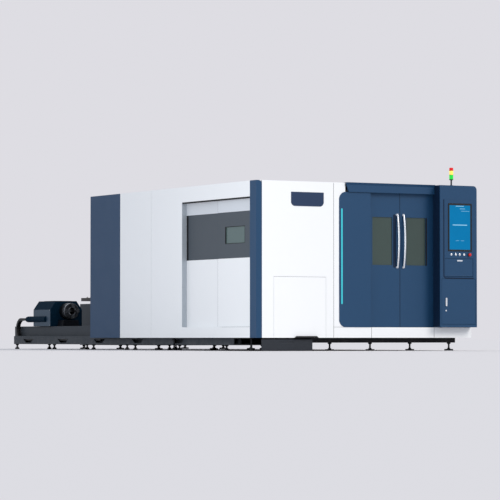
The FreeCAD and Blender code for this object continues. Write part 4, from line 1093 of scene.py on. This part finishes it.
def rear_wall():
    """Rear wall with its passages, the fume collar's flange and louvres."""
    stand_for("rear_panel", WHITE, merged_copy("rear_panel"), 0.001)
    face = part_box("side_panel_end")[1].y
    low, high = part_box("rear_panel")
    pin = [m for m in frame["record"]["mounts"] if m["name"] == "fume_collar_pin"][0]
    centre = Vector(pin["pos_m"])
    centre.y = face
    bore = pin["dims"]["r_mm"] / 1000
    long = high.y - face
    sleeve = [(bore - 0.0025, 0.0), (bore + 0.034, 0.0), (bore + 0.034, 0.004), (bore + 0.0005, 0.004),
        (bore + 0.0005, long - 0.010), (bore + 0.0005, long - 0.0005), (bore - 0.0025, long - 0.0005),
        (bore - 0.0025, 0.0)]
    flange = turned("fume_flange", centre, Y, sleeve, 96, hollow=True)
    bolts = [hexagon("bolt", spot, Y, 0.013, 0.004, 0.009) for spot in bolt_circle(centre, bore + 0.022)]
    ride_on("rear_panel", STEEL, join("fume_flange", [flange] + bolts), 0.0006)
    for number, at in enumerate((high.x - 0.50, high.x - 0.90), start=1):
        field = louvre_field(f"rear_louvres_{number}", (at - 0.15, face - 0.002, low.z + 0.9),
            (at + 0.15, face, low.z + 1.3), Y, 1, 10)
        ride_on("rear_panel", WHITE, field)


def roof():
    """Roof sheet with swaged ribs across it."""
    stand_for("roof_panel", WHITE, merged_copy("roof_panel"), 0.002)
    low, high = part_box("roof_panel")
    rib = block("rib", (low.x + 0.15, 0, high.z - 0.001), (high.x - 0.15, 0.060, high.z + 0.009))
    taper(rib, Z, (0.985, 0.55, 1))
    soften(rib, 0.003)
    count = 6
    pitch = (high.y - low.y) / count
    spots = [(0, low.y + pitch * (i + 0.5) - 0.03, 0) for i in range(count)]
    ride_on("roof_panel", WHITE, spread("roof_ribs", rib, spots))


# Feet, drawer ----------------------------------------

def foot_boxes():
    """The low and high corner of each levelling foot, parted from their shared node."""
    edit_all(merged_copy("levelling_feet"))
    bpy.ops.mesh.separate(type="LOOSE")
    done()
    found = []
    for foot in list(bpy.context.selected_objects):
        spots = [vertex.co for vertex in foot.data.vertices]
        found.append([Vector([side(spot[k] for spot in spots) for k in range(3)]) for side in (min, max)])
        bpy.data.objects.remove(foot, do_unlink=True)
    return found


def levelling_feet():
    """Feet under the frame, each alike to the others of its size."""
    boxes = foot_boxes()
    patterns = {}
    parts = []
    for low, high in boxes:
        kind = (round((high.x - low.x) * 1000), round(high.z * 1000))
        if kind not in patterns:
            patterns[kind] = one_foot((high.x - low.x) / 2, high.z)
        parts.append(copy_of(patterns[kind], ((low.x + high.x) / 2, (low.y + high.y) / 2, 0)))
    for pattern in patterns.values():
        bpy.data.objects.remove(pattern, do_unlink=True)
    stand_for("levelling_feet", FRAME_BLACK, join("jack_feet", parts))


def one_foot(radius, top):
    """Dished pad, lock nut, threaded stem and jack nut."""
    stem = 0.0125
    pad = turned("pad", (0, 0, 0), Z, [(radius * 0.96, 0), (radius, 0.002), (radius, 0.016),
        (radius * 0.96, 0.020), (stem * 1.9, 0.0225), (stem * 1.6, 0.026)], 32)
    thread = [(stem, 0.026)]
    count = max(4, int((top - 0.044) / 0.006))
    pitch = (top - 0.044) / count
    for i in range(count):
        at = 0.027 + pitch * i
        thread += [(stem * 0.90, at), (stem, at + pitch * 0.5)]
    thread.append((stem, top))
    bar = turned("thread", (0, 0, 0), Z, thread, 16)
    lock = hexagon("lock", (0, 0, 0), Z, 0.044, 0.027, 0.036)
    nut = [(stem * 1.1, top - 0.020), (0.026, top - 0.012), (0.026, top)]
    jack = turned("jack", (0, 0, 0), Z, nut, 6)
    return soften(join("foot", [pad, bar, lock, jack]), 0.0005, 1, 40)


def drawer():
    """Wide front plate with a pull slot, and the folded box behind it."""
    box = merged_copy("scrap_drawer")
    low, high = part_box("scrap_drawer")
    middle = (low + high) / 2
    slot = block("slot", (middle.x - 0.09, low.y - 0.01, high.z - 0.052),
        (middle.x + 0.09, low.y + 0.004, high.z - 0.022))
    round_corners(slot, Y, 0.010, segments=5)
    stand_for("scrap_drawer", DRAWER_GREY, cut(box, slot), 0.0018)


# Tube station ----------------------------------------

SPINDLE_TAIL = 0.020
CASING_LONG = 0.600
SHOULDER_RISE = 0.244
DUCT_RADIUS = 0.042


def headstock():
    """Sloped casing with a slate side cover, a chip guard, a lid and the cable duct."""
    node = "chuck_housing"
    low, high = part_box(node)
    stand_for(node, DEEP_NAVY, merged_copy(node), 0.004, 3)
    chuck_low, chuck_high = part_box("rear_chuck")
    axis = (chuck_low + chuck_high) / 2
    half = high.x - axis.x
    left = axis.x - half
    front = chuck_high.y - SPINDLE_TAIL - CASING_LONG
    rear = chuck_high.y - SPINDLE_TAIL
    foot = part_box("tube_bed")[1].z + 0.004
    shoulder = foot + SHOULDER_RISE
    cover = block("headstock_cover", (left - 0.003, front + 0.004, foot), (left, rear - 0.02, shoulder))
    inset(cover, X, -1, 0.012, 0.0)
    inset(cover, X, -1, 0.002, -0.001)
    ride_on(node, SLATE, cover, 0.001)
    bolts = [hexagon("bolt", (left - 0.002, y, z), X, 0.012, -0.005, 0.0)
        for y in (front + 0.020, rear - 0.036) for z in (foot + 0.010, shoulder - 0.010)]
    ride_on(node, STEEL, join("headstock_bolts", bolts))
    guard = block("chip_guard", (axis.x - 0.150, front - 0.190, foot - 0.002),
        (axis.x + 0.130, front - HAIR, foot + 0.088))
    taper(guard, Z, (0.86, 1, 1))
    ride_on(node, FRAME_BLACK, guard, 0.004)
    lid = block("headstock_lid", (axis.x - 0.145, front + 0.10, high.z - 0.001),
        (axis.x + 0.145, rear - 0.12, high.z + 0.003))
    round_corners(lid, Z, 0.02, segments=6)
    ride_on(node, DEEP_NAVY, lid, 0.001)
    duct_ring(low, rear)


DUCT_HEIGHT = 0.448


def duct_ring(low, rear):
    """Ribs round the duct that feeds the headstock's cables."""
    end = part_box("chuck_housing")[1].y
    start = Vector((low.x + DUCT_RADIUS, 0, DUCT_HEIGHT))
    rib = ((0.0005, 0.0), (0.0030, 0.004), (0.0030, 0.010), (0.0005, 0.014))
    profile = [(DUCT_RADIUS * 0.9, rear + 0.002)]
    for i in range(5):
        at = rear + 0.02 + 0.035 * i
        profile += [(DUCT_RADIUS + rise, at + along) for rise, along in rib]
    profile.append((DUCT_RADIUS * 0.9, end - 0.001))
    ribs = turned("duct_ribs", start, Y, profile, 40)
    ride_on("chuck_housing", DEEP_NAVY, ribs, 0.0006)


CHUCK_BODY = 0.198


def chucks():
    """Stepped rear chuck with its bolts and jaws, and the front chuck with its rim."""
    low, high, axis, radius = measures("rear_chuck")
    bore = 0.055
    back = CHUCK_BODY
    long = high.y - low.y
    profile = [(bore, 0.0), (radius * 0.52, 0.0), (radius * 0.56, 0.006), (radius * 0.90, 0.006),
        (radius * 0.95, 0.012), (radius * 0.95, 0.060), (radius * 0.90, 0.064), (radius * 0.90, 0.076),
        (radius, 0.080), (radius, back - 0.030), (radius * 0.96, back - 0.024), (radius * 0.96, back),
        (0.074, back), (0.074, long - 0.016), (0.071, long), (bore, long), (bore, 0.0)]
    body = turned("chuck_body", (axis.x, low.y, axis.z), Y, profile, 72, hollow=True)
    screw = [(0.004, 0.003), (0.0085, 0.001), (0.0085, 0.007)]
    screws = [turned("screw", spot, Y, screw, 20)
        for spot in bolt_circle((axis.x, low.y, axis.z), radius * 0.76)]
    stand_for("rear_chuck", BLACK_STEEL, join("chuck_body", [body] + screws), 0.0008)
    sleeve = ring_profile(bore - 0.004, bore + 0.006, -0.002, 0.012)
    ground = ring_profile(radius * 0.945, radius * 0.957, 0.020, 0.052)
    bands = [turned("band", (axis.x, low.y, axis.z), Y, outline, 72, hollow=True)
        for outline in (sleeve, ground)]
    ride_on("rear_chuck", STEEL, join("chuck_ground_bands", bands), 0.0008)
    for number in range(1, 5):
        jaw(number, axis)
    low, high, axis, radius = measures("front_chuck")
    ring = merged_copy("front_chuck")
    stand_for("front_chuck", BLACK_STEEL, ring, 0.002)
    trim = [(radius * 0.80, 0.0), (radius * 0.99, 0.0), (radius * 0.99, -0.006), (radius * 0.80, -0.006),
        (radius * 0.80, 0.0)]
    rim = turned("front_chuck_rim", (axis.x, low.y + HAIR, axis.z), Y, trim, 72, hollow=True)
    ride_on("front_chuck", STEEL, rim)


CLEAR = 0.01           # how far a small cutter runs out
JAW_STEP_TALL = 0.026
JAW_STEP_DEEP = 0.018


def jaw(number, axis):
    """A jaw with a stepped gripping end and a screw."""
    node = f"chuck_jaw_{number}"
    low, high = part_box(node)
    piece = block(node + "_block", low, high)
    middle = (low + high) / 2
    flat = X if abs(middle.x - axis.x) > abs(middle.z - axis.z) else Z
    outward = 1 if middle[flat] > axis[flat] else -1
    near, far = list(low), list(high)
    edge = high[flat] if outward > 0 else low[flat]
    near[flat], far[flat] = sorted((edge + outward * CLEAR, edge - outward * JAW_STEP_TALL))
    near[Y], far[Y] = low.y - CLEAR, low.y + JAW_STEP_DEEP
    other = Z if flat == X else X
    near[other], far[other] = low[other] - CLEAR, high[other] + CLEAR
    cut(piece, block("step", near, far))
    screw = [0.0, low.y + JAW_STEP_DEEP, 0.0]
    screw[flat] = edge - outward * JAW_STEP_TALL / 2
    screw[other] = middle[other]
    head = turned("screw", screw, Y, [(0.003, -0.002), (0.0075, -0.004), (0.0075, 0.003)], 20)
    stand_for(node, DARK_STEEL, join(node + "_block", [soften(piece, 0.0015), head]))


LINK = (0.046, 0.058, 0.038)


def chain_link():
    """One link of the energy chain: two side plates with a stud, joined by two bars."""
    long, wide, thick = LINK
    half = wide / 2
    plates = []
    for sign in (-1, 1):
        outer = sign * half
        start, end = sorted((outer, outer - sign * 0.006))
        plate = block("plate", (start, -long * 0.56, -thick / 2), (end, long * 0.56, thick / 2))
        round_corners(plate, X, thick * 0.42, segments=4)
        plates.append(plate)
        inset(plate, X, sign, 0.005, -0.001)
    for level in (-1, 1):
        edge = level * thick * 0.5
        start, end = sorted((edge, edge - level * 0.005))
        plates.append(block("bar", (-half + 0.004, -long * 0.47, start),
            (half - 0.004, long * 0.47, end)))
    return join("link", plates)


CHAIN_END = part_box("drag_chain")[0].y


def energy_chain():
    """The loop that follows the headstock, and the run that lies in the cable channel."""
    low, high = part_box("drag_chain")
    across = (low.x + high.x) / 2
    thick = LINK[2] + 0.002
    top = high.z - thick / 2
    foot = low.z + thick / 2
    radius = (top - foot) / 2
    turn = high.y - radius - thick / 2
    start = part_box("chuck_housing")[1].y
    link = chain_link()
    loop = []
    pitch = LINK[0]
    count = max(1, round((turn - start) / pitch))
    for i in range(count):
        loop.append(((across, start + (turn - start) * (i + 0.5) / count, top), 0.0))
    count = round(math.pi * radius / pitch)
    for i in range(count):
        angle = math.pi * (i + 0.5) / count
        spot = (across, turn + radius * math.sin(angle), (top + foot) / 2 + radius * math.cos(angle))
        loop.append((spot, -angle))
    twins = [copy_of(link, spot, Matrix.Rotation(angle, 4, "X")) for spot, angle in loop]
    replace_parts(ride_on("chuck_housing", CHAIN_BLACK, join("chain_loop", twins)), "drag_chain")
    count = round((turn - CHAIN_END) / pitch)
    twins = [copy_of(link, (across, CHAIN_END + (turn - CHAIN_END) * (i + 0.5) / count, foot))
        for i in range(count)]
    bpy.data.objects.remove(link, do_unlink=True)
    stand_for("drag_chain", CHAIN_BLACK, join("chain_run", twins))


def tube_station():
    headstock()
    chucks()
    energy_chain()


# Pallets, gantry ----------------------------------------

def pallet(node):
    """Welded frame with two bays, and slats with saw-tooth tops."""
    low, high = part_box(node)
    proud = 0.020
    bar = 0.080
    top = high.z - proud
    frame_piece = block(node + "_frame", low, (high.x, high.y, top))
    middle = (low.y + high.y) / 2
    for start, end in ((low.y + bar, middle - bar / 2), (middle + bar / 2, high.y - bar)):
        cut(frame_piece, block("bay", (low.x + bar, start, low.z - BEYOND),
            (high.x - bar, end, top + BEYOND)))
    stand_for(node, PALLET_BROWN, frame_piece, 0.003)
    count = 24
    pitch = (high.y - low.y - 2 * bar) / (count - 1)
    slat = toothed_slat(low.x + bar / 2, high.x - bar / 2, low.z + proud, high.z)
    spots = [(0, low.y + bar + i * pitch, 0) for i in range(count)]
    stand_for(node, GALVANISED, spread(node + "_slats", slat, spots))


def toothed_slat(left, right, foot, top):
    """A thin upright strip whose top edge is drawn up into teeth."""
    teeth = 26
    thick = 0.005
    valley = top - 0.028
    slat = block("slat", (left, -thick / 2, foot), (right, thick / 2, valley))
    activate(slat)
    bpy.ops.object.mode_set(mode="EDIT")
    step = (right - left) / (teeth * 2)
    for i in range(1, teeth * 2):
        bpy.ops.mesh.select_all(action="SELECT")
        at = left + step * i
        bpy.ops.mesh.bisect(plane_co=(at, 0, 0), plane_no=(1, 0, 0))
    done()

    def is_tip(edge):
        spot = edge.verts[0].co
        return lies_along(edge, Y) and spot.z > valley - NEAR and round((spot.x - left) / step) % 2 == 1

    pick(slat, "EDGE", is_tip)
    bpy.ops.transform.translate(value=(0, 0, top - valley))
    done()
    return slat


def cutting_head():
    """Head with collars, cooling fins and a nozzle, and the carriage that carries it."""
    low, high, axis, radius = measures("cutting_head")
    tall = high.z - low.z
    profile = [(0.004, 0.0), (0.0075, 0.0), (0.015, 0.016), (0.020, 0.018), (0.020, 0.030),
        (0.030, 0.040), (0.030, 0.075), (radius, 0.080)]
    for i in range(5):
        at = 0.090 + 0.016 * i
        profile += [(radius, at), (radius * 0.9, at + 0.004), (radius * 0.9, at + 0.008),
            (radius, at + 0.012)]
    profile += [(radius, tall - 0.040), (radius * 0.85, tall - 0.034), (radius * 0.85, tall - 0.008),
        (radius * 0.6, tall)]
    head = turned("head_barrel", (axis.x, axis.y, low.z), Z, profile, 48)
    stand_for("cutting_head", SILVER, head, 0.0008)
    low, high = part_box("head_carriage")
    plate = block("carriage_plate", low, high)
    inset(plate, Y, -1, 0.02, 0.0)
    inset(plate, Y, -1, 0.003, -0.004)
    round_corners(plate, Y, 0.012, segments=4)
    stand_for("head_carriage", FRAME_GREY, plate, 0.002)


# Stage ----------------------------------------

CAMERA_FROM_LEFT = -17.25      # camera's place from the left face, the front face and the floor
CAMERA_FROM_FRONT = -30.45
EYE_HEIGHT = 0.17
LENS = 196.8
LOOK_UP = 1.84
LOOK_RIGHT = 29.4


def camera():
    lens = bpy.data.cameras.new("camera")
    lens.lens = LENS
    lens.sensor_width = SENSOR
    lens.clip_end = FARTHEST
    eye = placed("camera", lens)
    eye.location = (LEFT_FACE + CAMERA_FROM_LEFT, FRONT_FACE + CAMERA_FROM_FRONT, EYE_HEIGHT)
    eye.rotation_euler = (math.radians(90 + LOOK_UP), 0, math.radians(-LOOK_RIGHT))
    bpy.context.scene.camera = eye


SUN_RIGHT = 28.0               # key light's direction, from the front and above
SUN_HIGH = 33.0
SUN_STRENGTH = 1.40
SUN_SOFTNESS = 26.0
SUN_COLOUR = (1.0, 0.955, 0.90)
SIDE_LAMP_SIZE = (2.0, 2.0)
SIDE_LAMP_POWER = 82.0
SIDE_LAMP_COLOUR = (0.93, 0.97, 1.0)
SIDE_LAMP_PLACE = (-6.5, -5.5, 1.7)
SIDE_LAMP_AIM = (-1.65, -3.8, 1.1)
BACKDROP = (0.730, 0.723, 0.768)
SKY_LIGHT = (0.70, 0.745, 0.81)
FLOOR_TONE = (0.765, 0.738, 0.745, 1)
FLOOR_SPAN = 400
FLOOR_DROP = 0.0002            # keeps the floor clear of the feet
SENSOR = 36.0
FARTHEST = 500.0


def lights():
    """A soft key from the front right and an even pale surround."""
    sun = bpy.data.lights.new("key", "SUN")
    sun.energy = SUN_STRENGTH
    sun.angle = math.radians(SUN_SOFTNESS)
    sun.color = SUN_COLOUR
    lamp = placed("key", sun)
    lamp.rotation_euler = (math.radians(90 - SUN_HIGH), 0, math.radians(SUN_RIGHT))
    world = bpy.data.worlds.new("studio")
    bpy.context.scene.world = world
    world.use_nodes = True
    tree = world.node_tree
    tree.nodes.clear()
    seen = tree.nodes.new("ShaderNodeBackground")
    seen.inputs["Color"].default_value = (*BACKDROP, 1)
    cast = tree.nodes.new("ShaderNodeBackground")
    cast.inputs["Color"].default_value = (*SKY_LIGHT, 1)
    path = tree.nodes.new("ShaderNodeLightPath")
    mix = tree.nodes.new("ShaderNodeMixShader")
    out = tree.nodes.new("ShaderNodeOutputWorld")
    tree.links.new(path.outputs["Is Camera Ray"], mix.inputs["Fac"])
    tree.links.new(cast.outputs[0], mix.inputs[1])
    tree.links.new(seen.outputs[0], mix.inputs[2])
    tree.links.new(mix.outputs[0], out.inputs["Surface"])
    bpy.context.scene.view_settings.view_transform = "Standard"
    side = bpy.data.lights.new("side_panel", "AREA")
    side.shape = "RECTANGLE"
    side.size, side.size_y = SIDE_LAMP_SIZE
    side.energy = SIDE_LAMP_POWER
    side.color = SIDE_LAMP_COLOUR
    lamp = placed("side_panel", side)
    lamp.location = SIDE_LAMP_PLACE
    lamp.visible_camera = False
    aim = Vector(SIDE_LAMP_AIM) - lamp.location
    lamp.rotation_euler = aim.to_track_quat("-Z", "Y").to_euler()
    lamp.light_linking.receiver_collection = bpy.data.collections.new("side_lit")
    return lamp.light_linking.receiver_collection


def floor(side_lit):
    """Plain pale studio floor, which the side panel light leaves alone."""
    deselect_all()
    bpy.ops.mesh.primitive_plane_add(size=FLOOR_SPAN, location=(0, 0, -FLOOR_DROP))
    ground = settle(bpy.context.object)
    ground.name = "studio_floor"
    ground.data.materials.append(finish("studio_floor", POWDER_COAT,
        {"Tone": FLOOR_TONE, "Gloss": 0.85, "Drift": 0.0, "Peel": 3.0}, relief=0.0,
        Specular_IOR_Level=0.0))
    side_lit.objects.link(ground)
    side_lit.collection_objects[0].light_linking.link_state = "EXCLUDE"


def build():
    camera()
    floor(lights())
    pressed_sheets()
    grooved_sides()
    side_opening()
    front_face()
    console()
    cabinet_fittings()
    signal_tower()
    right_side()
    rear_wall()
    roof()
    levelling_feet()
    drawer()
    tube_station()
    pallet("pallet_lower")
    pallet("pallet_upper")
    cutting_head()


build()
